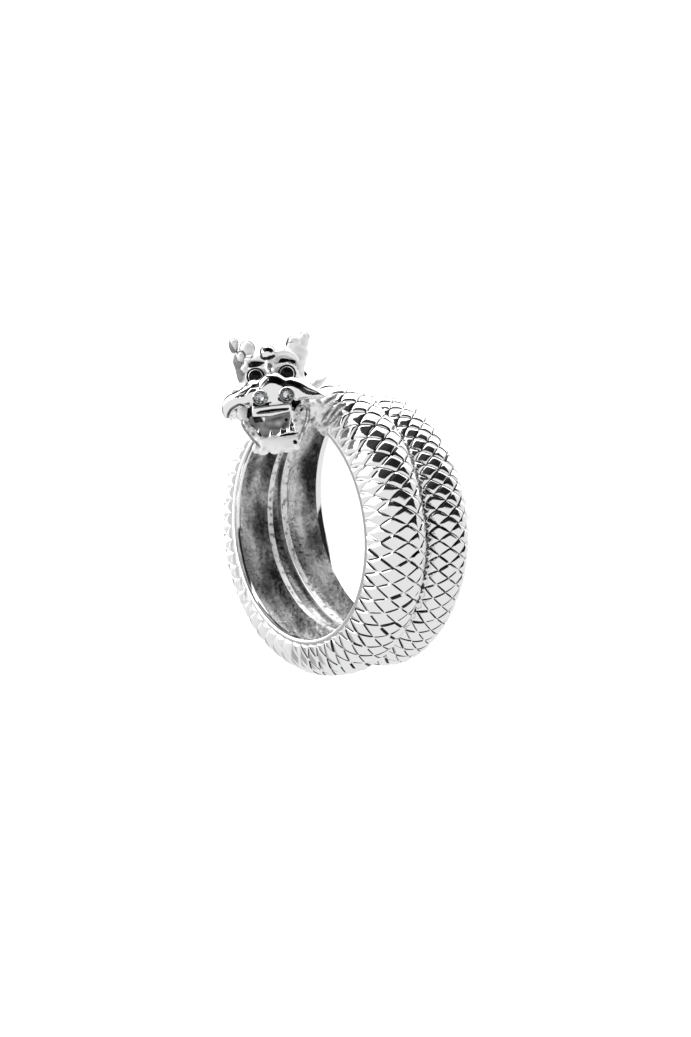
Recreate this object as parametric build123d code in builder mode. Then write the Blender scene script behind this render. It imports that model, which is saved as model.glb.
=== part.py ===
"""A dragon ring: a cast serpent body in two rows round the finger, with a horned head.

The ring lies on its side. +Z is the finger axis, z = 0 is the surface it lies on, and the
head stands up from the front row at +Y. All lengths are in millimetres.
"""

import os
from math import asin, cos, floor, pi, radians, sin

from build123d import *

# Band
bore_diameter = 17.5
row_width = 4.6
row_height = 2.95
row_pitch = 4.85
rim_land = 0.5

# Shape of a row's section, as shares of its height and width there
flank_share = 0.25
groove_share = 0.1
channel_share = 0.5
channel_shoulder_share = 0.42
channel_shoulder_place = 0.58
land_limit_share = 0.6

# Scales
scales_per_turn = 56
scale_columns = 7
scale_relief = 0.17
scale_tip_shift = 0.6
rim_scale_share = 0.3
full_relief_height_share = 0.6

# The body's ends: its last turn, and the front row's narrowing to the neck
body_turns = 1.96
neck_join_turns = 0.06
neck_join_share = 0.62

# Section table. turn: turns from the neck. rise: height of the row's back edge over the surface, as a
# share of row_pitch. width and height: shares of row_width and row_height. hollow: share of the
# channel's full depth.
SECTIONS = [
    {"turn": 0.000, "rise": 1.221, "width": 0.96, "height": 0.62, "hollow": 0.1},
    {"turn": 0.125, "rise": 0.948, "width": 1.03, "height": 0.92, "hollow": 0.9},
    {"turn": 0.250, "rise": 0.912, "width": 1.00, "height": 1.00, "hollow": 1.0},
    {"turn": 0.375, "rise": 0.892, "width": 1.00, "height": 0.99, "hollow": 1.0},
    {"turn": 0.500, "rise": 0.926, "width": 0.95, "height": 0.98, "hollow": 1.0},
    {"turn": 0.625, "rise": 0.984, "width": 0.87, "height": 1.02, "hollow": 1.0},
    {"turn": 0.750, "rise": 0.962, "width": 0.79, "height": 0.96, "hollow": 1.0},
    {"turn": 0.875, "rise": 0.797, "width": 0.80, "height": 0.70, "hollow": 1.0},
    {"turn": 1.000, "rise": 0.450, "width": 0.88, "height": 0.22, "hollow": 0.4},
    {"turn": 1.125, "rise": 0.140, "width": 0.72, "height": 0.42, "hollow": 0.7},
    {"turn": 1.250, "rise": 0.020, "width": 0.86, "height": 0.56, "hollow": 1.0},
    {"turn": 1.375, "rise": 0.000, "width": 0.82, "height": 0.70, "hollow": 1.0},
    {"turn": 1.500, "rise": 0.000, "width": 0.78, "height": 0.92, "hollow": 1.0},
    {"turn": 1.625, "rise": 0.000, "width": 0.77, "height": 0.98, "hollow": 1.0},
    {"turn": 1.750, "rise": 0.000, "width": 0.82, "height": 0.96, "hollow": 1.0},
    {"turn": 1.875, "rise": 0.000, "width": 0.72, "height": 0.74, "hollow": 1.0},
    {"turn": 2.000, "rise": 0.000, "width": 0.20, "height": 0.22, "hollow": 0.2},
]

# Head: its place round the ring, over the bore and over the front row's centre, and how far it turns
# from the finger axis and leans
head_turn = 0.0801
head_over_bore = 2.551
head_over_row = 5.15
head_yaw = 54.5
head_roll = -2.3

# Head sizes, with x to the face's right as it is looked at, y up and z out of the face
skull_width = 4.3
skull_height = 4.2
skull_length = 3.7
muzzle_width = 3.9
muzzle_height = 2.0
muzzle_reach = 1.6
lip_width = 3.3
lip_height = 0.8
lip_setback = 0.15
lip_slit = 0.14
cheek_width = 5.0
jaw_width = 5.2
jaw_drop = 4.25
jaw_reach = 0.95
chin_width = 2.9
gum_height = 0.95
mouth_depth = 1.85
tooth_height = 0.6
tooth_radius = 0.2
eye_spacing = 2.3
eye_reach = 0.55
eye_stone_radius = 0.44
nostril_spacing = 1.94
nostril_stand = 0.3
nostril_stone_radius = 0.44
bezel_wall = 0.15
bezel_depth = 1.0
stone_seat_depth = 0.35
stone_clearance = 0.03
ball_radius = 0.56
brow_span = 2.05
brow_radius = 0.3
horn_spread = 2.1
horn_length = 3.3
horn_radius = 0.6
moustache_reach = 3.9
moustache_radius = 0.6
beard_radius = 0.4
beard_count = 4
ear_bead_radius = 0.3
mane_length = 2.7
mane_radius = 0.5
mane_taper = 9.0
neck_radius = 1.35
neck_start_turn = 0.04
neck_end_rise = 0.2

# Places and sizes of the smaller forms, as shares of the size they are multiplied by
skull_overlap_share = 0.25
jaw_overlap_share = 0.1
lip_overlap_share = 0.1
lip_corner_share = 0.35
lip_slit_width_share = 0.7
mouth_top_share = 0.8
mouth_floor_share = 1.2
tooth_root_share = 0.4
tooth_tip_share = 0.1
tooth_ahead_share = 0.8
beard_width_share = 0.9
beard_length_share = 0.9
beard_ahead_share = 0.55
ear_out_share = 0.92
mane_back_share = 0.3
neck_start_share = 0.55
neck_end_share = 0.45
eye_fillet_share = 0.6
girdle_share = 0.6
crown_share = 1.3
table_share = 0.55
girdle_sides = 8
tip_swell = 1.02

# Levels of the face, as shares of skull_height
ball_level = 0.65
brow_level = 0.62
eye_level = 0.245
temple_level = 0.2
ear_level = 0.1
nostril_level = -0.126

# Skull, from the neck to the brow, as shares of skull_length, skull_width and skull_height
SKULL = [
    {"ahead": -0.62, "up": 0.00, "width": 0.62, "height": 0.66},
    {"ahead": -0.28, "up": 0.05, "width": 0.94, "height": 1.00},
    {"ahead": 0.10, "up": 0.09, "width": 1.00, "height": 1.06},
    {"ahead": 0.38, "up": 0.17, "width": 0.86, "height": 0.84},
]

# Outlines of the face from the front. Muzzle: shares of half its width and height. Cheeks: shares of
# cheek_width and skull_height.
MUZZLE = [
    {"across": -0.26, "up": 1.00},
    {"across": 0.26, "up": 1.00},
    {"across": 1.00, "up": 0.00},
    {"across": 0.88, "up": -1.00},
    {"across": -0.88, "up": -1.00},
    {"across": -1.00, "up": 0.00},
]
CHEEKS = [
    {"across": -0.44, "up": 0.15},
    {"across": 0.44, "up": 0.15},
    {"across": 0.50, "up": -0.15},
    {"across": 0.52, "up": -0.43},
    {"across": -0.52, "up": -0.43},
    {"across": -0.50, "up": -0.15},
]
MUZZLE_TAPER = 0.86

# Brow, as shares of brow_span, of brow_level, of skull_length and of brow_radius
BROW = [
    {"out": 0.20, "up": 1.00, "ahead": 0.36, "thick": 0.9},
    {"out": 0.65, "up": 0.96, "ahead": 0.40, "thick": 1.0},
    {"out": 1.00, "up": 0.74, "ahead": 0.26, "thick": 0.7},
]

# Teeth, as shares of chin_width and lip_width, and whether they point up or down
TEETH = [
    {"across": -0.45, "points": "up"},
    {"across": -0.17, "points": "up"},
    {"across": 0.15, "points": "up"},
    {"across": 0.43, "points": "up"},
    {"across": -0.36, "points": "down"},
    {"across": 0.36, "points": "down"},
]

# Horn, as shares of horn_spread, horn_length and horn_radius, from the temple to the lobe
HORN_SHAFT = [
    {"out": 0.92, "up": 0.00, "ahead": 0.5, "thick": 1.00},
    {"out": 1.06, "up": 0.29, "ahead": 0.2, "thick": 1.00},
    {"out": 1.02, "up": 0.56, "ahead": 0.0, "thick": 0.88},
    {"out": 0.86, "up": 0.74, "ahead": 0.0, "thick": 0.76},
    {"out": 0.76, "up": 0.86, "ahead": 0.0, "thick": 0.62},
]
HORN_TINE = [
    {"out": 1.02, "up": 0.47, "ahead": 0.0, "thick": 0.70},
    {"out": 1.16, "up": 0.74, "ahead": -0.1, "thick": 0.56},
    {"out": 1.25, "up": 0.92, "ahead": -0.2, "thick": 0.45},
]

# Moustache, as shares of moustache_reach, moustache_reach and moustache_radius. ahead is a share
# of the muzzle's front. The left one curls down and in, the right one sweeps back along the cheek.
MOUSTACHE_LEFT = [
    {"out": 0.36, "up": -0.05, "ahead": 0.70, "thick": 1.10},
    {"out": 0.60, "up": -0.09, "ahead": 0.68, "thick": 0.94},
    {"out": 0.78, "up": -0.17, "ahead": 0.59, "thick": 0.80},
    {"out": 0.88, "up": -0.28, "ahead": 0.53, "thick": 0.62},
    {"out": 0.89, "up": -0.40, "ahead": 0.50, "thick": 0.42},
    {"out": 0.83, "up": -0.48, "ahead": 0.50, "thick": 0.22},
]
MOUSTACHE_RIGHT = [
    {"out": 0.33, "up": 0.00, "ahead": 0.68, "thick": 1.20},
    {"out": 0.47, "up": -0.05, "ahead": 0.65, "thick": 1.20},
    {"out": 0.60, "up": -0.11, "ahead": 0.59, "thick": 1.00},
    {"out": 0.72, "up": -0.15, "ahead": 0.52, "thick": 0.80},
    {"out": 0.85, "up": -0.20, "ahead": 0.44, "thick": 0.50},
    {"out": 0.97, "up": -0.24, "ahead": 0.37, "thick": 0.22},
]

# Neck, from the band's end to the skull. toward: share of the way between them. back, up and thick:
# bulge away from the face, bulge away from the finger, and radius, as shares of neck_radius.
NECK = [
    {"toward": 0.00, "back": 0.00, "up": 0.00, "thick": 0.58},
    {"toward": 0.20, "back": 0.95, "up": 0.20, "thick": 0.80},
    {"toward": 0.48, "back": 1.40, "up": 0.35, "thick": 0.96},
    {"toward": 0.78, "back": 0.95, "up": 0.25, "thick": 1.00},
    {"toward": 1.00, "back": 0.00, "up": 0.00, "thick": 1.00},
]

# Mane locks: their roots, as shares of cheek_width, skull_height and skull_length, their way out
# and up, and their length as a share of mane_length
MANE = [
    {"out": 0.36, "up": -0.04, "ahead": -0.20, "way_out": 0.88, "way_up": 0.37, "length": 1.00},
    {"out": 0.36, "up": -0.14, "ahead": -0.24, "way_out": 0.97, "way_up": 0.06, "length": 0.90},
]

bore_radius = bore_diameter / 2
stations_per_turn = 2 * scales_per_turn
station_count = round(body_turns * stations_per_turn)
web_count = station_count - stations_per_turn


def row_value(column, turn):
    """One column of the section table at a turn, on a smooth curve through its rows."""
    step = SECTIONS[1]["turn"] - SECTIONS[0]["turn"]
    last = len(SECTIONS) - 1
    index = min(int(floor(turn / step)), last - 1)
    share = turn / step - index
    before, here, after, beyond = (
        SECTIONS[min(max(index + offset, 0), last)][column] for offset in (-1, 0, 1, 2)
    )
    slope_here = (after - before) / 2
    slope_after = (beyond - here) / 2
    cubic = 2 * here - 2 * after + slope_here + slope_after
    square = 3 * after - 3 * here - 2 * slope_here - slope_after
    return ((cubic * share + square) * share + slope_here) * share + here


def on_ring(turn, radius, height):
    """A point at a turn from the neck, at a radius from the finger axis and a height."""
    angle = pi / 2 - 2 * pi * turn
    return (radius * cos(angle), radius * sin(angle), height)


def body_section(station):
    """The named points of the body's section at one station."""
    turn = station / stations_per_turn
    width = row_value("width", turn) * row_width
    height = row_value("height", turn) * row_height
    centre = row_value("rise", turn) * row_pitch + width / 2
    joined = min(1, turn / neck_join_turns)
    half = width / 2 * (neck_join_share + (1 - neck_join_share) * joined * joined * (3 - 2 * joined))
    depth = row_value("hollow", turn) * height
    land = min(rim_land, land_limit_share * half)
    inner = half - land
    flank_angle = asin(flank_share)
    at_end = station in (0, station_count)

    def place(radius, across):
        return on_ring(turn, bore_radius + radius, centre + across)

    points = {
        "front_rim": place(0, half),
        "front_groove": place(groove_share * height, half),
        "back_rim": place(0, -half),
        "back_groove": place(groove_share * height, -half),
        "front_land": place(0, inner),
        "back_land": place(0, -inner),
        "front_shoulder": place(channel_shoulder_share * depth, channel_shoulder_place * inner),
        "channel": place(channel_share * depth, 0),
        "back_shoulder": place(channel_shoulder_share * depth, -channel_shoulder_place * inner),
    }
    for column in range(scale_columns + 1):
        angle = flank_angle + column * (pi - 2 * flank_angle) / scale_columns
        lift = 0
        turn_here = turn
        if (station + column) % 2 == 0 and not at_end:
            on_rim = column in (0, scale_columns)
            lift = scale_relief * (rim_scale_share if on_rim else 1)
            lift *= min(1, height / (full_relief_height_share * row_height))
            turn_here = turn + scale_tip_shift / stations_per_turn
        radius = bore_radius + height * sin(angle) + lift * sin(angle)
        points[column] = on_ring(turn_here, radius, centre + (half + lift) * cos(angle))
    return points


def body_solid():
    """The scaled body as one closed solid of flat facets."""
    rows = [body_section(station) for station in range(station_count + 1)]
    facets = []

    def strip(start, end, name_a, name_b, ahead=0):
        """Two facets between neighbouring stations, from name_a to name_b."""
        for station in range(start, end):
            here, following = rows[station], rows[station + 1]
            here_b, following_b = rows[station + ahead], rows[station + ahead + 1]
            facets.append((here[name_a], following[name_a], following_b[name_b]))
            facets.append((here[name_a], following_b[name_b], here_b[name_b]))

    for station in range(station_count + 1):
        for column in range(scale_columns + 1):
            if (station + column) % 2:
                continue
            tip = rows[station][column]
            ends = ((-1, 0), (0, 1), (1, 0), (0, -1), (-1, 0))
            around = [(station + along, column + across) for along, across in ends]
            for (station_a, column_a), (station_b, column_b) in zip(around, around[1:]):
                in_body = 0 <= min(station_a, station_b) and max(station_a, station_b) <= station_count
                if in_body and 0 <= min(column_a, column_b) and max(column_a, column_b) <= scale_columns:
                    facets.append((tip, rows[station_a][column_a], rows[station_b][column_b]))
    last = scale_columns
    for names in (
        ("front_rim", "front_groove"),
        ("back_groove", "back_rim"),
        ("back_rim", "back_land"),
        ("back_land", "back_shoulder"),
        ("back_shoulder", "channel"),
        ("channel", "front_shoulder"),
        ("front_shoulder", "front_land"),
        ("front_land", "front_rim"),
    ):
        strip(0, station_count, *names)
    strip(0, stations_per_turn, "front_groove", 0)
    strip(web_count, station_count, last, "back_groove")
    strip(0, web_count, last, 0, ahead=stations_per_turn)
    strip(0, web_count, "back_groove", "front_groove", ahead=stations_per_turn)

    outline = ["front_rim", "front_groove", *range(scale_columns + 1), "back_groove", "back_rim"]
    outline += ["back_land", "back_shoulder", "channel", "front_shoulder", "front_land"]
    polygons = [
        [rows[0][name] for name in outline],
        [rows[station_count][name] for name in outline],
    ]
    for station in (0, web_count):
        here, beside = rows[station], rows[station + stations_per_turn]
        facets.append((here[last], beside[0], beside["front_groove"]))
        facets.append((here[last], beside["front_groove"], here["back_groove"]))
    faces = [Face(Wire.make_polygon([Vector(*point) for point in facet])) for facet in facets + polygons]
    return Solid(Shell(faces))


# The front row where the neck starts
neck_row_height = row_value("height", neck_start_turn) * row_height
neck_row_centre = row_value("rise", neck_start_turn) * row_pitch
neck_row_centre += row_value("width", neck_start_turn) * row_width / 2

# Head plane and its helpers
yaw = radians(head_yaw)
head_plane = Plane(
    origin=on_ring(head_turn, bore_radius + head_over_bore, neck_row_centre + head_over_row),
    x_dir=(cos(yaw), 0, -sin(yaw)),
    z_dir=(sin(yaw), 0, cos(yaw)),
).rotated((0, 0, head_roll))


def on_head(x, y, z=0.0):
    """A point of the head as a point of the ring."""
    return head_plane.from_local_coords(Vector(x, y, z))


def tapered_tube(points, radii, seam):
    """A tube lofted through points, square to its run at each, with a round far end.

    seam is a direction that no part of the run follows: each section starts on that side.
    """
    with BuildPart() as tube:
        for index, (point, radius) in enumerate(zip(points, radii)):
            before = points[max(index - 1, 0)]
            after = points[min(index + 1, len(points) - 1)]
            with BuildSketch(Plane(origin=point, x_dir=seam, z_dir=after - before)):
                Circle(radius)
        loft()
        with Locations(points[-1]):
            Sphere(tip_swell * radii[-1])
    return tube.part


def horn_points(table, side):
    """A horn's path on one side of the head, and its radii."""
    points = [
        on_head(
            side * row["out"] * horn_spread,
            temple_level * skull_height + row["up"] * horn_length,
            row["ahead"] * horn_radius,
        )
        for row in table
    ]
    return points, [row["thick"] * horn_radius for row in table]


def moustache_points(table, side):
    """A moustache's path on one side of the muzzle, and its radii."""
    points = [
        on_head(side * row["out"] * moustache_reach, row["up"] * moustache_reach, row["ahead"] * muzzle_front)
        for row in table
    ]
    return points, [row["thick"] * moustache_radius for row in table]


def brow_points(side):
    """A brow's path on one side of the forehead, and its radii."""
    points = [
        on_head(
            side * row["out"] * brow_span,
            row["up"] * brow_level * skull_height,
            row["ahead"] * skull_length,
        )
        for row in BROW
    ]
    return points, [row["thick"] * brow_radius for row in BROW]


# How far the forms of the face stand out, and their heights
skull_front = SKULL[-1]["ahead"] * skull_length
muzzle_front = skull_front + muzzle_reach
lip_front = muzzle_front - lip_setback
jaw_front = skull_front + jaw_reach
eye_front = skull_front + eye_reach
nostril_front = muzzle_front + nostril_stand
mouth_back = jaw_front - mouth_depth
lip_centre = -(muzzle_height + lip_height) / 2
mouth_top = lip_centre - lip_height / 2
gum_top = gum_height - jaw_drop
eye_places = (eye_spacing / 2, eye_level * skull_height, eye_front, eye_stone_radius)
nostril_places = (nostril_spacing / 2, nostril_level * skull_height, nostril_front, nostril_stone_radius)

# Horns, moustache and brows
face_way = head_plane.z_dir
tubes = []
for side in (-1, 1):
    tubes.append(tapered_tube(*brow_points(side), face_way))
    tubes.append(tapered_tube(*horn_points(HORN_SHAFT, side), face_way))
    tubes.append(tapered_tube(*horn_points(HORN_TINE, side), face_way))
tubes.append(tapered_tube(*moustache_points(MOUSTACHE_LEFT, -1), face_way))
tubes.append(tapered_tube(*moustache_points(MOUSTACHE_RIGHT, 1), face_way))

with BuildPart() as head:
    # Skull
    for row in SKULL:
        with BuildSketch(head_plane.offset(row["ahead"] * skull_length)):
            with Locations((0, row["up"] * skull_height)):
                Ellipse(row["width"] * skull_width / 2, row["height"] * skull_height / 2)
    loft()

    # Muzzle, with sides that fall away from the bridge of the nose
    for ahead, share in ((mouth_back, 1), (muzzle_front, MUZZLE_TAPER)):
        with BuildSketch(head_plane.offset(ahead)):
            with BuildLine():
                half, top = share * muzzle_width / 2, share * muzzle_height / 2
                Polyline([(row["across"] * half, row["up"] * top) for row in MUZZLE], close=True)
            make_face()
    loft()

    # Upper lip, with the slit under the nose
    with BuildSketch(head_plane):
        with Locations((0, lip_centre)):
            RectangleRounded(lip_width, (1 + lip_overlap_share) * lip_height, lip_corner_share * lip_height)
    extrude(amount=lip_front)

    # Cheeks
    with BuildSketch(head_plane.offset(-skull_overlap_share * skull_length)):
        with BuildLine():
            Polyline([(row["across"] * cheek_width, row["up"] * skull_height) for row in CHEEKS], close=True)
        make_face()
    extrude(amount=skull_overlap_share * skull_length + mouth_back)

    # Jaws round the open mouth
    with BuildSketch(head_plane.offset(-jaw_overlap_share * skull_length)):
        with BuildLine():
            Polyline(
                (-jaw_width / 2, mouth_top),
                (jaw_width / 2, mouth_top),
                (chin_width / 2, -jaw_drop),
                (-chin_width / 2, -jaw_drop),
                close=True,
            )
        make_face()
    extrude(amount=jaw_overlap_share * skull_length + jaw_front)
    with BuildSketch(head_plane.offset(mouth_back)):
        with BuildLine():
            half_top, half_floor = mouth_top_share * jaw_width / 2, mouth_floor_share * chin_width / 2
            Polyline(
                (-half_top, mouth_top),
                (half_top, mouth_top),
                (half_floor, gum_top),
                (-half_floor, gum_top),
                close=True,
            )
        make_face()
    extrude(amount=(1 + jaw_overlap_share) * mouth_depth, mode=Mode.SUBTRACT)
    with BuildSketch(head_plane.offset(lip_front)):
        with Locations((0, lip_centre)):
            Rectangle(lip_slit_width_share * lip_width, lip_slit)
    extrude(amount=-2 * lip_slit, mode=Mode.SUBTRACT)

    # Teeth, rooted in the gum and in the lip
    for row in TEETH:
        up = row["points"] == "up"
        across = row["across"] * (chin_width if up else lip_width)
        root = tooth_root_share * tooth_height
        middle = (across, gum_top + root if up else mouth_top - root, tooth_ahead_share * jaw_front)
        with Locations(head_plane * Location(middle, (-90 if up else 90, 0, 0))):
            Cone(tooth_radius, tooth_tip_share * tooth_radius, tooth_height)

    # Beard: a row of scallops under the chin
    for number in range(beard_count):
        across = (number / (beard_count - 1) - 0.5) * beard_width_share * chin_width
        with Locations(head_plane * Location((across, -jaw_drop, beard_ahead_share * jaw_front))):
            Cylinder(beard_radius, beard_length_share * jaw_front)

    # Horns, moustache, brows, ear beads and the forehead's ball
    for tube in tubes:
        add(tube)
    for side in (-1, 1):
        with Locations(on_head(side * ear_out_share * cheek_width / 2, ear_level * skull_height)):
            Sphere(ear_bead_radius)
    with Locations(on_head(0, ball_level * skull_height, skull_front)):
        Sphere(ball_radius)

    # Mane: pointed locks behind the right cheek
    for row in MANE:
        root = on_head(row["out"] * cheek_width, row["up"] * skull_height, row["ahead"] * skull_length)
        way = head_plane.x_dir * row["way_out"] + head_plane.y_dir * row["way_up"]
        way -= head_plane.z_dir * mane_back_share
        with BuildSketch(Plane(origin=root, z_dir=way)):
            Circle(mane_radius)
        extrude(amount=row["length"] * mane_length, taper=mane_taper)

    # Bezels and the seats of their stones
    for across, up, front, stone_radius in (eye_places, nostril_places):
        for side in (-1, 1):
            with BuildSketch(head_plane.offset(front)):
                with Locations((side * across, up)):
                    Circle(stone_radius + stone_clearance + bezel_wall)
            extrude(amount=-bezel_depth)
            with BuildSketch(head_plane.offset(front - stone_seat_depth)):
                with Locations((side * across, up)):
                    Circle(stone_radius + stone_clearance)
            extrude(amount=3 * stone_seat_depth, mode=Mode.SUBTRACT)

# Neck, from inside the band's first stations round to the back of the skull
neck_start_radius = bore_radius + neck_start_share * neck_row_height
band_end = Vector(*on_ring(neck_start_turn, neck_start_radius, neck_row_centre))
skull_back = on_head(0, neck_end_rise, -neck_end_share * skull_length)
neck_points = [
    band_end
    + (skull_back - band_end) * row["toward"]
    + Vector(-row["back"] * neck_radius, row["up"] * neck_radius, 0)
    for row in NECK
]
neck = tapered_tube(neck_points, [row["thick"] * neck_radius for row in NECK], head_plane.y_dir)

# The casting: the band, the neck and the head in one solid
with BuildPart() as ring_casting:
    add(body_solid())
    add(neck)
    add(head.part)

# Eye stones: smooth black domes
eye_parts = {}
for side_name, side in (("left", -1), ("right", 1)):
    across, up, front, _ = eye_places
    seat = on_head(side * across, up, front - stone_seat_depth + stone_clearance)
    with BuildPart() as eye_stone:
        with BuildSketch(Plane(origin=seat, z_dir=head_plane.z_dir)):
            Circle(eye_stone_radius)
        extrude(amount=stone_seat_depth)
        rim = eye_stone.faces().sort_by(Axis(seat, head_plane.z_dir))[-1].edges()
        fillet(rim, eye_fillet_share * stone_seat_depth)
    eye_parts["eye_stone_" + side_name] = eye_stone.part

# Nostril stones: clear round stones with a table and a ring of facets
nostril_parts = {}
for side_name, side in (("left", -1), ("right", 1)):
    across, up, front, _ = nostril_places
    seat = on_head(side * across, up, front - stone_seat_depth + stone_clearance)
    seat_plane = Plane(origin=seat, x_dir=head_plane.x_dir, z_dir=head_plane.z_dir)
    with BuildPart() as nostril_stone:
        with BuildSketch(seat_plane):
            RegularPolygon(nostril_stone_radius, girdle_sides)
        extrude(amount=girdle_share * stone_seat_depth)
        with BuildSketch(seat_plane.offset(girdle_share * stone_seat_depth)):
            RegularPolygon(nostril_stone_radius, girdle_sides)
        with BuildSketch(seat_plane.offset(crown_share * stone_seat_depth)):
            RegularPolygon(table_share * nostril_stone_radius, girdle_sides)
        loft()
    nostril_parts["nostril_stone_" + side_name] = nostril_stone.part

os.makedirs("parts", exist_ok=True)
pieces = {"ring_casting": ring_casting.part, **eye_parts, **nostril_parts}
for label, piece in pieces.items():
    piece.label = label
    export_step(piece, f"parts/{label}.step")
    print(label, round(piece.volume, 2), "mm3", len(piece.solids()), "solid", piece.is_valid)
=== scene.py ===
"""Dragon ring: a scaled serpent body in two rows round the finger, with a horned head.

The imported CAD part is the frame. The band, the neck and the head are rebuilt here with their
scales and forms in full, over the CAD casting, which they replace. Sizes are in millimetres and
are turned to metres as each mesh is made. The ring lies on its side: z = 0 is the floor.
"""

import math

import bpy
import numpy as np
from mathutils import Matrix, Vector


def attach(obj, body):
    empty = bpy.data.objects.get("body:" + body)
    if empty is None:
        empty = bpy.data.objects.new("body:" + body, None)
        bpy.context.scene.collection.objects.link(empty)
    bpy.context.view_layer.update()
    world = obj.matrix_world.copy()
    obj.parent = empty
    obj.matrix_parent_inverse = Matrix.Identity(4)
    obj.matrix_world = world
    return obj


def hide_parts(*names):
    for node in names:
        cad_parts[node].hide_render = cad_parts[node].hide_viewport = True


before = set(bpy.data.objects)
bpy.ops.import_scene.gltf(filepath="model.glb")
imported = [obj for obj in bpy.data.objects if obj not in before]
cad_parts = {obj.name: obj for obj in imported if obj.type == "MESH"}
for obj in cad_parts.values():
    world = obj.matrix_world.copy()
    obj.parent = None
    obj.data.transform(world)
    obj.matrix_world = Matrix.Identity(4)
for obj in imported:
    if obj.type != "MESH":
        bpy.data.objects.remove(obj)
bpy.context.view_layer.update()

MM = 0.001

# Band: the driving dimensions of the CAD part
BORE_RADIUS = 8.75
ROW_WIDTH = 4.6
ROW_HEIGHT = 2.95
ROW_PITCH = 4.85
RIM_LAND = 0.5
FLANK_SHARE = 0.25
GROOVE_SHARE = 0.1
CHANNEL_SHARE = 0.5
BODY_TURNS = 1.96
NECK_JOIN_TURNS = 0.06
NECK_JOIN_SHARE = 0.62
STATIONS_PER_TURN = 112
SCALE_COLUMNS = 7
FULL_RELIEF_SHARE = 0.6

# One row for every eighth of a turn from the neck. rise: the back edge's height as a share of
# ROW_PITCH. width and height: shares of ROW_WIDTH and ROW_HEIGHT. hollow: share of the channel's depth.
SECTIONS = {
    "rise": [1.221, 0.948, 0.912, 0.892, 0.926, 0.984, 0.962, 0.797, 0.45, 0.14, 0.02] + [0] * 6,
    "width": [0.96, 1.03, 1, 1, 0.95, 0.87, 0.79, 0.8, 0.88, 0.72, 0.86, 0.82, 0.78, 0.77, 0.82, 0.72, 0.2],
    "height": [0.62, 0.92, 1, 0.99, 0.98, 1.02, 0.96, 0.7, 0.22, 0.42, 0.56, 0.7, 0.92, 0.98, 0.96, 0.74]
    + [0.22],
    "hollow": [0.1, 0.9] + [1] * 6 + [0.4, 0.7] + [1] * 6 + [0.2],
}
SECTION_STEP = 0.125


def on_curve(before, here, after, beyond, share):
    """The place at a share of the way from here to after, on a smooth curve through all four."""
    slope_here, slope_after = (after - before) / 2, (beyond - here) / 2
    cubic = 2 * here - 2 * after + slope_here + slope_after
    square = 3 * after - 3 * here - 2 * slope_here - slope_after
    return ((cubic * share + square) * share + slope_here) * share + here


def section_value(name, turn):
    """A column of the section table at turns, on a smooth curve through its rows."""
    column = np.array(SECTIONS[name], float)
    last = len(column) - 1
    place = np.asarray(turn, float) / SECTION_STEP
    index = np.clip(np.floor(place).astype(int), 0, last - 1)
    rows = (column[np.clip(index + k, 0, last)] for k in (-1, 0, 1, 2))
    return on_curve(*rows, place - index)


def row_shape(turn):
    """Half width, height, centre height and channel depth of the body at turns."""
    width = section_value("width", turn) * ROW_WIDTH
    height = section_value("height", turn) * ROW_HEIGHT
    centre = section_value("rise", turn) * ROW_PITCH + width / 2
    joined = np.clip(turn / NECK_JOIN_TURNS, 0, 1)
    half = width / 2 * (NECK_JOIN_SHARE + (1 - NECK_JOIN_SHARE) * joined * joined * (3 - 2 * joined))
    return half, height, centre, section_value("hollow", turn) * CHANNEL_SHARE * height


def on_ring(turn, radius, height):
    """Points at turns from the neck, at a radius from the finger axis and a height."""
    angle = math.pi / 2 - 2 * math.pi * turn
    return np.stack([radius * np.cos(angle), radius * np.sin(angle), height + 0 * angle], -1)


def band_point(station, column, lift):
    """Points of the body's outer surface, lifted off it."""
    turn = np.clip(station, 0, BODY_TURNS * STATIONS_PER_TURN) / STATIONS_PER_TURN
    half, height, centre, _ = row_shape(turn)
    flank = math.asin(SCALE_FLANK_SHARE)
    angle = flank + np.clip(column, 0, SCALE_COLUMNS) * (math.pi - 2 * flank) / SCALE_COLUMNS
    lift = lift * np.minimum(1, height / (FULL_RELIEF_SHARE * ROW_HEIGHT))
    radius = BORE_RADIUS + (height + lift) * np.sin(angle)
    return on_ring(turn, radius, np.maximum(centre + (half + lift) * np.cos(angle), 0))


# Meshes
def add_mesh(name, points, faces, materials, face_materials, smooth_angle=40):
    """A mesh object from points in millimetres, riding on the ring."""
    mesh = bpy.data.meshes.new(name)
    mesh.from_pydata([tuple(p) for p in np.asarray(points, float) * MM], [], [tuple(f) for f in faces])
    for material in materials:
        mesh.materials.append(material)
    mesh.polygons.foreach_set("material_index", np.asarray(face_materials, np.int32))
    mesh.polygons.foreach_set("use_smooth", np.ones(len(mesh.polygons), bool))
    mesh.set_sharp_from_angle(angle=math.radians(smooth_angle))
    mesh.validate()
    piece = bpy.data.objects.new(name, mesh)
    bpy.context.scene.collection.objects.link(piece)
    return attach(piece, "root")


# Scales: heights and depths in millimetres, flatness and bulge as shares
SCALE_TILT = 0.03
SCALE_DOME = 0.16
SCALE_BASE = 0.05
SCALE_FLATNESS = 0.7
SCALE_FLANK_SHARE = 0.12
SCALE_UNEVEN = 0.02
SCALE_CUSHION_POWER = 4.5
SCALE_BULGE = (-0.02, -0.05)
SKIRT_DEPTH = 0.2
# Painted shade along the clefts: how many grid strips it covers, how often one more, and where along an edge
# it starts and ends
CLEFT_STRIPS = 2
CLEFT_WIDE_CHANCE = 0.12
CLEFT_ENDS = ([0, 0, 0.7, 0.7], [0.25, 0.25, 1.6, 1.6])
SCALE_GRID = np.array([0, 0.03, 0.08, 0.16, 0.28, 0.5, 0.72, 0.84, 0.92, 0.97, 1.0])
AS_BRIGHT, AS_CLEFT_SHADE, AS_CAST, AS_BRUSHED = range(4)


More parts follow.
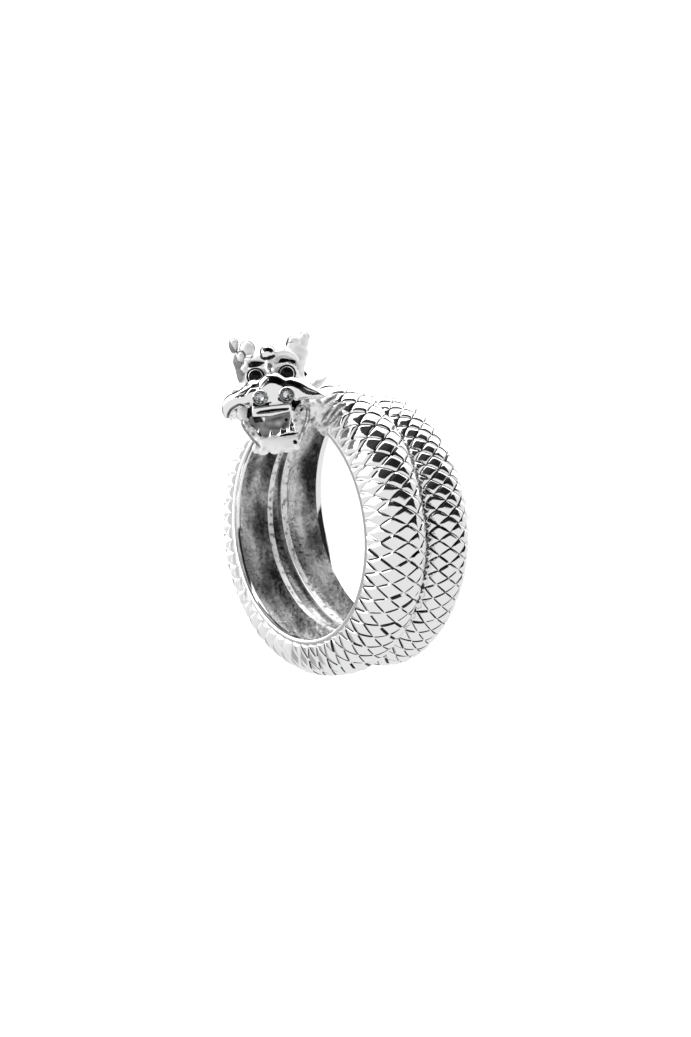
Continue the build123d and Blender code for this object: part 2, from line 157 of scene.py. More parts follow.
def scale_sheet(surface, station_count, column_count, closed, seed, kind):
    """Overlapping diamond scales over a surface(station, column, lift), as points, faces and kinds.

    Each scale is a diamond two stations long and two columns wide. It swells like a cushion and tilts
    up a little towards its tip, where its two free edges step down to the scales beyond.
    kind(station, column, cleft) gives the number of a face's material. cleft is true on the steps and on
    narrow strips beside them, which carry painted shade where kind gives the shade metal.
    """
    chance = np.random.default_rng(seed)
    steps = len(SCALE_GRID)
    a, b = np.meshgrid(SCALE_GRID, SCALE_GRID, indexing="ij")
    rise_a, rise_b = (1 - np.abs(2 * share - 1) ** SCALE_CUSHION_POWER for share in (a, b))
    cushion = rise_a * rise_b
    points, faces, kinds, corner = [], [], [], {}
    for station in range(station_count + 1):
        for column in range(column_count + (0 if closed else 1)):
            if (station + column) % 2:
                continue
            lean, side, swell = chance.normal(0, SCALE_UNEVEN, 3)
            lift = SCALE_BASE + (SCALE_TILT + lean) * (a + b - 1) + side * (a - b)
            lift += (SCALE_DOME + swell) * cushion
            corner[station, column] = len(points) * steps * steps
            # The edges bow towards the root near the neck, and towards the tip on the far side
            turned = 2 * math.pi * (station + a + b - 1) / STATIONS_PER_TURN
            bulge = SCALE_BULGE[0] + SCALE_BULGE[1] * np.cos(turned)
            along, across = a + bulge * np.sin(math.pi * b), b + bulge * np.sin(math.pi * a)
            place = (station + along + across - 1, column + along - across)
            on_arc = surface(*place, 0 * lift)
            u, v = along[..., None], across[..., None]
            near_root = (1 - v) * on_arc[0, 0] + v * on_arc[0, -1]
            near_tip = (1 - v) * on_arc[-1, 0] + v * on_arc[-1, -1]
            flat = (1 - u) * near_root + u * near_tip
            out = surface(*place, lift) - on_arc
            points.append((on_arc + SCALE_FLATNESS * (flat - on_arc) + out).reshape(-1, 3))
    flat = np.concatenate(points)
    extra = []

    def wall(own, other, made_of):
        """Quads from the own edge's points down to the other's, or to a skirt under them."""
        for k in range(len(own) - 1):
            faces.append((own[k], own[k + 1], other[k + 1], other[k]))
            kinds.append(made_of)

    def skirt(stations, columns):
        """New points under an edge of a scale."""
        start = len(flat) + sum(len(points) for points in extra)
        extra.append(surface(stations, columns, np.full(steps, -SKIRT_DEPTH)))
        return list(range(start, start + steps))

    for (station, column), start in corner.items():
        at = lambda i, j: start + i * steps + j
        ends = chance.uniform(*CLEFT_ENDS)
        wide = CLEFT_STRIPS + (chance.random(2) < CLEFT_WIDE_CHANCE)
        low_rim = not closed and column == 0
        high_rim = not closed and column == column_count
        for i in range(steps - 1):
            for j in range(steps - 1):
                if (low_rim and i < j) or (high_rim and i > j):
                    continue
                if i == j and low_rim:
                    faces.append((at(i, i), at(i + 1, i), at(i + 1, i + 1)))
                elif i == j and high_rim:
                    faces.append((at(i, i), at(i + 1, i + 1), at(i, i + 1)))
                else:
                    faces.append((at(i, j), at(i + 1, j), at(i + 1, j + 1), at(i, j + 1)))
                # Strips by the root edges, just under the scales before, count as cleft and take the painted
                # shade
                cleft = i < wide[0] and ends[0] < SCALE_GRID[j] < ends[2]
                cleft = cleft or (j < wide[1] and ends[1] < SCALE_GRID[i] < ends[3])
                kinds.append(kind(station, column, cleft))
        if low_rim or high_rim:
            own = [at(k, k) for k in range(steps)]
            below = skirt(station + 2 * SCALE_GRID - 1, np.full(steps, float(column)))
            turned_over = slice(None, None, 1 if high_rim else -1)
            cast = kind(station, column, False) == AS_CAST
            wall(own[turned_over], below[turned_over], AS_CAST if cast else AS_BRUSHED)
        for step, blocked in ((1, high_rim), (-1, low_rim)):
            if blocked:
                continue
            own = [at(steps - 1, k) if step == 1 else at(k, steps - 1) for k in range(steps)]
            beside = (column + step) % column_count if closed else column + step
            following = corner.get((station + 1, beside))
            if following is None:
                below = skirt(station + SCALE_GRID, column + step * (1 - SCALE_GRID))
            else:
                below = [following + k if step == 1 else following + k * steps for k in range(steps)]
            wall(own[::step], below[::step], kind(station, column, True))
    return np.concatenate([flat, *extra]), faces, kinds


# Materials: the cast back's streaks, and a painted light stripe that makes each row's middle lighter than its
# sides, in metres
STREAK_RUN = 0.0026
ROW_MIDDLES = (0.0066, 0.0018)
LIT_STRIPE_HALF_WIDTH = 0.0012
LIT_STRIPE_STRENGTH = 170


def node_material(name, settings):
    """A new material with settings for its shader. Returns it with its node tree and that shader."""
    material = bpy.data.materials.new(name)
    material.use_nodes = True
    shader = material.node_tree.nodes["Principled BSDF"]
    for socket, value in settings.items():
        shader.inputs[socket].default_value = value
    return material, material.node_tree, shader


def link_noise(tree, scale, detail=2.0, place=None):
    """A noise texture at a place, or in the object's own metres. Returns its node."""
    if place is None:
        place = tree.nodes.new("ShaderNodeTexCoord").outputs["Object"]
    noise = tree.nodes.new("ShaderNodeTexNoise")
    noise.inputs["Scale"].default_value = scale
    noise.inputs["Detail"].default_value = detail
    tree.links.new(place, noise.inputs["Vector"])
    return noise


def link_bump(tree, shader, height, strength, distance):
    """A bump from a noise's height, with its distance in millimetres."""
    bump = tree.nodes.new("ShaderNodeBump")
    bump.inputs["Strength"].default_value = strength
    bump.inputs["Distance"].default_value = distance * MM
    tree.links.new(height.outputs["Fac"], bump.inputs["Height"])
    tree.links.new(bump.outputs["Normal"], shader.inputs["Normal"])


def link_ramp(tree, value, stops, target):
    """A grey ramp from a value to a shader's input. stops: (place, grey) pairs."""
    ramp = tree.nodes.new("ShaderNodeValToRGB")
    elements = ramp.color_ramp.elements
    while len(elements) < len(stops):
        elements.new(0.5)
    for element, (place, grey) in zip(elements, stops):
        element.position = place
        element.color = (grey, grey, grey, 1)
    tree.links.new(value, ramp.inputs["Fac"])
    tree.links.new(ramp.outputs["Color"], target)


def polished_metal():
    """Bright rhodium plate: a near mirror with faint casting waves."""
    settings = {"Metallic": 1.0, "Base Color": (0.93, 0.93, 0.935, 1)}
    material, tree, shader = node_material("polished_metal", settings)
    grain = link_noise(tree, 2600, 2.0).outputs["Fac"]
    link_ramp(tree, grain, [(0.3, 0.05), (0.75, 0.12)], shader.inputs["Roughness"])
    link_bump(tree, shader, link_noise(tree, 900, 1.0), 0.25, 0.05)
    return material


def cast_metal():
    """The back of the casting: grainy, with streaks along its run, and painted light that makes each row's
    middle lighter than its sides.
    """
    material, tree, shader = node_material("cast_metal", {"Metallic": 1.0})

    def math_node(operation, first, second=None):
        """A value worked out from one or two others, which are sockets or numbers."""
        node = tree.nodes.new("ShaderNodeMath")
        node.operation = operation
        for socket, value in zip(node.inputs, (first, second)):
            if isinstance(value, (int, float)):
                socket.default_value = value
            elif value is not None:
                tree.links.new(value, socket)
        return node.outputs["Value"]

    place = tree.nodes.new("ShaderNodeTexCoord")
    parts = tree.nodes.new("ShaderNodeSeparateXYZ")
    tree.links.new(place.outputs["Object"], parts.inputs[0])
    turned = math_node("ARCTAN2", parts.outputs["X"], math_node("MULTIPLY", parts.outputs["Y"], -1))
    streak_place = tree.nodes.new("ShaderNodeCombineXYZ")
    tree.links.new(math_node("MULTIPLY", turned, STREAK_RUN), streak_place.inputs["X"])
    tree.links.new(parts.outputs["Z"], streak_place.inputs["Z"])
    streaks = link_noise(tree, 900, 5, streak_place.outputs[0])
    grain = link_noise(tree, 3800, 4.0)
    # Painted light: a lighter stripe along each row's middle, fading to its sides
    off_middles = (math_node("SUBTRACT", parts.outputs["Z"], middle) for middle in ROW_MIDDLES)
    off_middle = math_node("MINIMUM", *(math_node("ABSOLUTE", value) for value in off_middles))
    lit_stripe = math_node("MAXIMUM", math_node("SUBTRACT", LIT_STRIPE_HALF_WIDTH, off_middle), 0)
    lit_stripe = math_node("MULTIPLY", lit_stripe, LIT_STRIPE_STRENGTH)
    shares = ((streaks, 0.75), (grain, 0.25))
    mix = math_node("ADD", *(math_node("MULTIPLY", noise.outputs["Fac"], share) for noise, share in shares))
    value = math_node("ADD", mix, lit_stripe)
    link_ramp(tree, value, [(0.43, 0.05), (0.54, 0.3), (0.66, 0.9)], shader.inputs["Base Color"])
    link_ramp(tree, grain.outputs["Fac"], [(0.35, 0.22), (0.65, 0.48)], shader.inputs["Roughness"])
    link_bump(tree, shader, grain, 0.8, 0.09)
    return material


def matt_metal(name, metallic, scale, detail, stops, roughness, bump=None):
    """A metal whose tint follows a noise. bump: its noise's scale, its strength and its distance."""
    material, tree, shader = node_material(name, {"Metallic": metallic, "Roughness": roughness})
    link_ramp(tree, link_noise(tree, scale, detail).outputs["Fac"], stops, shader.inputs["Base Color"])
    if bump:
        link_bump(tree, shader, link_noise(tree, bump[0], 3.0), *bump[1:])
    return material


def polished_stone(name, settings, stops):
    """A stone whose roughness follows a faint noise."""
    material, tree, shader = node_material(name, settings)
    link_ramp(tree, link_noise(tree, 3000).outputs["Fac"], stops, shader.inputs["Roughness"])
    return material


METAL = polished_metal()
CAST = cast_metal()
BLACK_STONE = polished_stone("black_stone", {
    "Base Color": (0.004, 0.004, 0.005, 1), "Specular IOR Level": 0.15}, [(0.3, 0.03), (0.8, 0.1)])
CLEAR_STONE = polished_stone("clear_stone", {
    "Transmission Weight": 1.0, "IOR": 1.6, "Base Color": (0.72, 0.74, 0.75, 1)}, [(0.3, 0.0), (0.8, 0.03)])

# Painted shade and painted dark reflections, in near-black metal: the face's hollows and the clefts between
# scales
SHADE = matt_metal("shade_metal", 1.0, 1500, 3.0, [(0.4, 0.012), (0.62, 0.05)], 0.3)
# Painted shade in grey metal on the face's shaded sides and fine lines
DIM = matt_metal("dim_metal", 0.8, 1500, 3.0, [(0.35, 0.2), (0.65, 0.34)], 0.4)
# The brushed horns, chin and far rim
SATIN = matt_metal("satin_metal", 0.5, 1200, 2.0, [(0.3, 0.82), (0.7, 0.9)], 0.5)
# Bright plate over a rough skin: the cheeks and the throat
GRAIN = matt_metal("grain_metal", 0.4, 2400, 4.0, [(0.36, 0.25), (0.45, 0.75), (0.6, 0.9)], 0.42,
                   (2000, 0.5, 0.06))
# The unpolished inside of the mouth, its grey darkened as painted shade in the recess
MOUTH = matt_metal("mouth_metal", 0.3, 1100, 4.0, [(0.35, 0.35), (0.65, 0.75)], 0.5, (3000, 0.6, 0.06))

# Band core: how far it lies under the scales, its rims, channels and the crevice between the rows
CORE_DROP = 0.16
CORE_DROP_ANGLE = 0.12
CORE_STATIONS = 4
OUTER_POINTS = 33
CHANNEL_POINTS = 15
LAND_LIMIT_SHARE = 0.6
RIM_ROUNDING = 0.07
CREVICE_POINTS = 7
CREVICE_REACH = 0.93

# Turns where the body's looks change: the grainy lands and the cast scales pass from the front row
# to the rear one, the far rim is brushed, and the clefts carry painted shade, the rim's only from a place on
LAND_TURNS = (0.95, 1.05)
CAST_TURNS = (0.96, 1)
BRUSHED_TURNS = (0.55, 0.98)
DARK_TURNS = (0.1, 0.53)
RIM_DARK_FROM = 0.3


def core_section(turn):
    """The body's closed section at turns, without scales, and the material of each strip."""
    half, height, centre, depth = row_shape(turn)
    flank = math.asin(FLANK_SHARE)
    inner = half - np.minimum(RIM_LAND, LAND_LIMIT_SHARE * half)
    points = []

    def add_point(across, radial):
        """A point of the section, from the row's middle and the bore."""
        points.append(on_ring(turn, BORE_RADIUS + radial, centre + across))

    lowest = math.asin(SCALE_FLANK_SHARE)
    for angle in np.linspace(lowest, math.pi - lowest, OUTER_POINTS):
        away = min(angle, math.pi - angle) - flank
        drop = CORE_DROP * min(max(away / CORE_DROP_ANGLE, 0), 1)
        add_point((half - drop) * math.cos(angle), (height - drop) * math.sin(angle))
    corner = RIM_ROUNDING * 0.3
    rim = [(half, RIM_ROUNDING), (half - corner, corner), (half - RIM_ROUNDING, 0), (inner, 0)]
    for across, radial in rim:
        add_point(-across, radial)
    for share in np.linspace(-1, 1, CHANNEL_POINTS)[1:-1]:
        add_point(share * inner * 0.98, depth * (1 - abs(share) ** 3.2) ** 0.8)
    for across, radial in rim[::-1]:
        add_point(across, radial)
    kinds = [0] * (OUTER_POINTS + len(rim) - 1) + [1] * (CHANNEL_POINTS - 1) + [0] * len(rim)
    return np.stack(points, 1), kinds


def build_band():
    """The band's core and its scales."""
    count = round(BODY_TURNS * STATIONS_PER_TURN * CORE_STATIONS)
    turns = np.linspace(0, BODY_TURNS, count + 1)
    rings, kinds = core_section(turns)
    width = rings.shape[1]

    # The lands beside the crevice are grainy
    back_land = range(OUTER_POINTS + 1, OUTER_POINTS + 3)
    front_land = range(OUTER_POINTS + CHANNEL_POINTS + 1, OUTER_POINTS + CHANNEL_POINTS + 4)
    faces, face_kinds = [], []
    for i in range(count):
        for j in range(width):
            k = (j + 1) % width
            faces.append((i * width + j, (i + 1) * width + j, (i + 1) * width + k, i * width + k))
            first_land = turns[i] < LAND_TURNS[0] and j in back_land
            grainy = first_land or (turns[i] > LAND_TURNS[1] and j in front_land)
            face_kinds.append(2 if grainy else kinds[j])
    faces += [tuple(range(width)), tuple(range(count * width, (count + 1) * width))[::-1]]
    face_kinds += [0, 0]
    points = rings.reshape(-1, 3)

    # The crevice's two sheets, an outer and an inner one, between the front row and the rear row
    web_turns = turns[turns <= BODY_TURNS - 1]
    half, height, centre, _ = row_shape(web_turns)
    rear_half, rear_height, rear_centre, _ = row_shape(web_turns + 1)
    sheet_points = []
    shares = np.linspace(0, 1, CREVICE_POINTS)
    for level, sag in ((FLANK_SHARE, 0.12), (GROOVE_SHARE, -0.06)):
        own = on_ring(web_turns, BORE_RADIUS + level * height, centre - CREVICE_REACH * half)
        other = on_ring(web_turns, BORE_RADIUS + level * rear_height, rear_centre + CREVICE_REACH * rear_half)
        for share in shares:
            mid = own + (other - own) * share
            inward = mid * np.array([1, 1, 0]) / np.linalg.norm(mid[:, :2], axis=1, keepdims=True)
            sheet_points.append(mid - inward * sag * math.sin(math.pi * share))
    sheet = np.stack(sheet_points, 1)
    across = sheet.shape[1]
    for i in range(len(web_turns) - 1):
        for j in range(across - 1):
            if j == CREVICE_POINTS - 1:
                continue
            own = len(points) + i * across + j
            quad = (own, own + 1, own + across + 1, own + across)
            faces.append(quad if j < CREVICE_POINTS else quad[::-1])
            face_kinds.append(1)
    points = np.concatenate([points, sheet.reshape(-1, 3)])
    core = add_mesh("band_core", points, faces, [METAL, CAST, GRAIN], face_kinds, 50)
    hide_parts("ring_casting")

    stations = round(BODY_TURNS * STATIONS_PER_TURN) - 1

    def band_kind(station, column, cleft):
        """Cast metal beside the crevice, brushed metal on the far rim, and painted shade in the clefts on the
        near side.
        """
        turn = station / STATIONS_PER_TURN
        if (column == SCALE_COLUMNS and turn < CAST_TURNS[0]) or (column == 0 and turn > CAST_TURNS[1]):
            return AS_CAST
        if column < 2 and BRUSHED_TURNS[0] < turn < BRUSHED_TURNS[1]:
            return AS_BRUSHED
        dark = cleft and DARK_TURNS[0] < turn % 1 < DARK_TURNS[1]
        return AS_CLEFT_SHADE if dark and (column > 1 or turn > RIM_DARK_FROM) else AS_BRIGHT

    points, faces, kinds = scale_sheet(band_point, stations, SCALE_COLUMNS, False, 5, band_kind)
    scales = add_mesh("band_scales", points, faces, [METAL, SHADE, CAST, SATIN], kinds, 35)


# Head: clay shapes in the head's own millimetres, x to the right of the face as it is looked at,
# y up and z out of the face
HEAD_PLACE = np.array([5.45, 9.9, 12.9])
HEAD_YAW = math.radians(54.5)
HEAD_ROLL = math.radians(-2.3)
CLAY_STEP = 0.06

face_level = np.array([math.cos(HEAD_YAW), 0, -math.sin(HEAD_YAW)])
face_x = math.cos(HEAD_ROLL) * face_level + math.sin(HEAD_ROLL) * np.array([0, 1, 0])
face_z = np.array([math.sin(HEAD_YAW), 0, math.cos(HEAD_YAW)])
face_y = np.cross(face_z, face_x)


def on_head(points):
    """Points of the head as points of the ring."""
    points = np.asarray(points, float)
    return HEAD_PLACE + points @ np.array([face_x, face_y, face_z])


def smooth_path(points, steps=6):
    """A smooth path through points, each with any number of columns."""
    points = np.asarray(points, float)
    padded = np.concatenate([[2 * points[0] - points[1]], points, [2 * points[-1] - points[-2]]])
    out = []
    for four in zip(padded, padded[1:], padded[2:], padded[3:]):
        out += [on_curve(*four, share) for share in np.arange(steps) / steps]
    out.append(points[-1])
    return np.array(out)


def egg(centre, radii, turn=0.0):
    """An ellipsoid, turned in the face's plane by degrees. Returns its box and its distance."""
    centre, radii = np.array(centre, float), np.array(radii, float)
    along, across = math.cos(math.radians(turn)), math.sin(math.radians(turn))

    def distance(x, y, z):
        x, y, z = x - centre[0], y - centre[1], z - centre[2]
        u, v = along * x + across * y, along * y - across * x
        near = np.sqrt((u / radii[0]) ** 2 + (v / radii[1]) ** 2 + (z / radii[2]) ** 2)
        far = np.sqrt((u / radii[0] ** 2) ** 2 + (v / radii[1] ** 2) ** 2 + (z / radii[2] ** 2) ** 2)
        return near * (near - 1) / np.maximum(far, 1e-6)

    reach = np.array([max(radii[:2]), max(radii[:2]), radii[2]])
    return centre - reach, centre + reach, distance


def strand(*points):
    """A round strand through points of x, y, z and radius. Returns its box and its distance."""
    path = smooth_path(points)

    def distance(x, y, z):
        best = None
        for start, end in zip(path, path[1:]):
            way = end[:3] - start[:3]
            from_start = (x - start[0], y - start[1], z - start[2])
            share = sum(a * w for a, w in zip(from_start, way)) / max(way @ way, 1e-9)
            share = np.clip(share, 0, 1)
            gap = sum((a - share * w) ** 2 for a, w in zip(from_start, way))
            gap = np.sqrt(gap) - start[3] - (end[3] - start[3]) * share
            best = gap if best is None else np.minimum(best, gap)
        return best

    reach = path[:, 3:]
    return (path[:, :3] - reach).min(0), (path[:, :3] + reach).max(0), distance


def square_gap(x, y, start, end):
    """The square of the distance of points to a straight stretch."""
    ex, ey = end[0] - start[0], end[1] - start[1]
    share = np.clip(((x - start[0]) * ex + (y - start[1]) * ey) / max(ex * ex + ey * ey, 1e-9), 0, 1)
    return (x - start[0] - share * ex) ** 2 + (y - start[1] - share * ey) ** 2


def area(*outline):
    """A flat area of the face. Returns its box and how far points lie outside it, negative inside."""
    outline = np.array(outline, float)

    def gap(x, y):
        near = np.full(np.broadcast(x, y).shape, 1e9)
        side = np.ones(near.shape)
        for (ax, ay), (bx, by) in zip(outline, np.roll(outline, -1, 0)):
            near = np.minimum(near, square_gap(x, y, (ax, ay), (bx, by)))
            above, below = (y >= ay) & (y < by), (y < ay) & (y >= by)
            left = (bx - ax) * (y - ay) - (by - ay) * (x - ax)
            side = np.where((above & (left > 0)) | (below & (left < 0)), -side, side)
        return side * np.sqrt(near)

    return outline.min(0), outline.max(0), gap


def blob(*outline):
    """A flat area with a smooth outline through points."""
    return area(*smooth_path([*outline, outline[0]], 4)[:-1])


def ring(centre, inner, outer):
    """A flat ring of the face."""
    centre = np.array(centre, float)
    middle, half = (inner + outer) / 2, (outer - inner) / 2

    def gap(x, y):
        return np.abs(np.sqrt((x - centre[0]) ** 2 + (y - centre[1]) ** 2) - middle) - half

    return centre - outer, centre + outer, gap


def line(width, *points):
    """A flat line of the face that thins out to its ends."""
    path = smooth_path(points, 4)
    widths = width / 2 * (0.3 + 0.7 * np.sin(math.pi * np.linspace(0, 1, len(path))) ** 0.5)

    def gap(x, y):
        best = np.full(np.broadcast(x, y).shape, 1e9)
        for start, end, wide in zip(path, path[1:], widths):
            best = np.minimum(best, np.sqrt(square_gap(x, y, start, end)) - wide)
        return best

    return path.min(0) - width, path.max(0) + width, gap


def slab(outline, back, front, rounding, bend=0.0, slope=0.0):
    """A plate with rounded edges over an outline. Its faces fall back by bend * x² and slope * y."""
    low, high, gap = area(*outline)

    def distance(x, y, z):
        flat = gap(x, y) + rounding
        deep = np.abs(z + bend * x * x + slope * y - (front + back) / 2) - (front - back) / 2 + rounding
        outer = np.sqrt(np.maximum(flat, 0) ** 2 + np.maximum(deep, 0) ** 2)
        return outer + np.minimum(np.maximum(flat, deep), 0) - rounding

    fall = abs(bend) * max(low[0] ** 2, high[0] ** 2) + abs(slope) * max(abs(low[1]), abs(high[1]))
    return np.array([*low, back - fall]), np.array([*high, front + fall]), distance


class Clay:
    """A solid built up from shapes, held as distances on a grid."""

    def __init__(self, low, high, step):
        self.low, self.step = np.array(low, float), step
        self.counts = np.ceil((np.array(high, float) - self.low) / step).astype(int) + 1
        self.field = np.full(self.counts, 1.0, np.float32)

    def window(self, low, high, margin):
        """The part of the grid round a box, and the places of its points."""
        start = np.clip(((low - margin - self.low) / self.step).astype(int), 0, self.counts)
        stop = np.clip(((high + margin - self.low) / self.step).astype(int) + 2, 0, self.counts)
        axes = [self.low[k] + self.step * np.arange(start[k], stop[k]) for k in range(3)]
        return tuple(slice(a, b) for a, b in zip(start, stop)), np.meshgrid(*axes, indexing="ij", sparse=True)

    def add(self, shape, blend=0.12):
        """Joins a shape on, with a fillet of about the blend's size."""
        part, grid = self.window(shape[0], shape[1], blend + 0.2)
        own, other = self.field[part], shape[2](*grid)
        mix = np.maximum(blend - np.abs(own - other), 0) / blend
        self.field[part] = np.minimum(own, other) - mix * mix * blend / 4

    def cut(self, shape, blend=0.05):
        """Takes a shape off, with its rim rounded by about the blend's size."""
        part, grid = self.window(shape[0], shape[1], blend + 0.2)
        own, other = self.field[part], -shape[2](*grid)
        mix = np.maximum(blend - np.abs(own - other), 0) / blend
        self.field[part] = np.maximum(own, other) + mix * mix * blend / 4

    def engrave(self, flat, depth, back, front):
        """Sinks a flat area of the face by a depth, where the surface lies between two planes."""
        part, (x, y, z) = self.window(np.array([*flat[0], back]), np.array([*flat[1], front]), 0.1)
        own = self.field[part]
        sunk = np.maximum(own, np.minimum(-flat[2](x, y), own + depth))
        self.field[part] = np.where((z > back) & (z < front), sunk, own)

    def mesh(self, smoothing=4):
        """The surface as points and quads: one point in each cell that it passes through."""
        inside = self.field < 0
        cells = self.counts - 1
        held = np.zeros(cells, np.int8)
        for corner in np.ndindex(2, 2, 2):
            held += inside[tuple(slice(o, o + n) for o, n in zip(corner, cells))]
        place = np.argwhere((held > 0) & (held < 8))
        number = np.full(cells, -1)
        number[tuple(place.T)] = np.arange(len(place))
        value = {corner: self.field[tuple((place + corner).T)] for corner in np.ndindex(2, 2, 2)}
        total, hits = np.zeros((len(place), 3)), np.zeros(len(place))
        for axis in range(3):
            for corner in np.ndindex(2, 2, 2):
                if corner[axis]:
                    continue
                beyond = tuple(1 if k == axis else corner[k] for k in range(3))
                a, b = value[corner], value[beyond]
                crossed = (a < 0) != (b < 0)
                share = np.where(crossed, a / np.where(crossed, a - b, 1), 0)
                total += crossed[:, None] * (np.array(corner, float) + share[:, None] * np.eye(3)[axis])
                hits += crossed
        points = self.low + self.step * (place + total / hits[:, None])
        quads = []
        for axis in range(3):
            u, v = (axis + 1) % 3, (axis + 2) % 3
            first = inside[tuple(slice(0, -1) if k == axis else slice(None) for k in range(3))]
            second = inside[tuple(slice(1, None) if k == axis else slice(None) for k in range(3))]
            edge = np.argwhere(first != second)
            across = edge[:, [u, v]]
            edge = edge[((across > 0) & (across < cells[[u, v]])).all(1)]
            corners = []
            for du, dv in ((1, 1), (0, 1), (0, 0), (1, 0)):
                shift = np.zeros(3, int)
                shift[u], shift[v] = du, dv
                corners.append(number[tuple((edge - shift).T)])
            quad = np.stack(corners, 1)
            outward = first[tuple(edge.T)]
            quads.append(np.where(outward[:, None], quad, quad[:, ::-1]))
        quads = np.concatenate(quads)
        ends = np.concatenate([quads[:, [0, 1]], quads[:, [1, 2]], quads[:, [2, 3]], quads[:, [3, 0]]])
        ends = np.concatenate([ends, ends[:, ::-1]])
        degree = np.bincount(ends[:, 0], minlength=len(points))[:, None]
        for _ in range(smoothing):
            near = [np.bincount(ends[:, 0], points[ends[:, 1], k], len(points)) for k in range(3)]
            points = 0.4 * points + 0.6 * np.stack(near, 1) / degree
        return points, quads


def scatter(chance, outline, count):
    """Random points inside an outline."""
    low, high, gap = area(*outline)
    spots = []
    while len(spots) < count:
        spot = chance.uniform(low, high)
        if gap(spot[0], spot[1]) < 0:
            spots.append(spot)
    return spots


HEAD_METALS = [METAL, GRAIN, MOUTH, SHADE, SATIN, DIM]
AS_METAL, AS_GRAIN, AS_MOUTH, AS_SHADE, AS_SATIN, AS_DIM = range(6)
EYES = {"left": (-1.1, 1.04), "right": (1.2, 1.0)}
NOSTRILS = {"left": (-0.92, -0.54), "right": (1.02, -0.53)}


def mark(flat, depth, back, kind=AS_SHADE, front=4):
    """A mark of the face: an area that is sunk and painted dark, as painted shade and painted reflection,
    where the face lies from back to front.
    """
    return flat, depth, back, front, kind


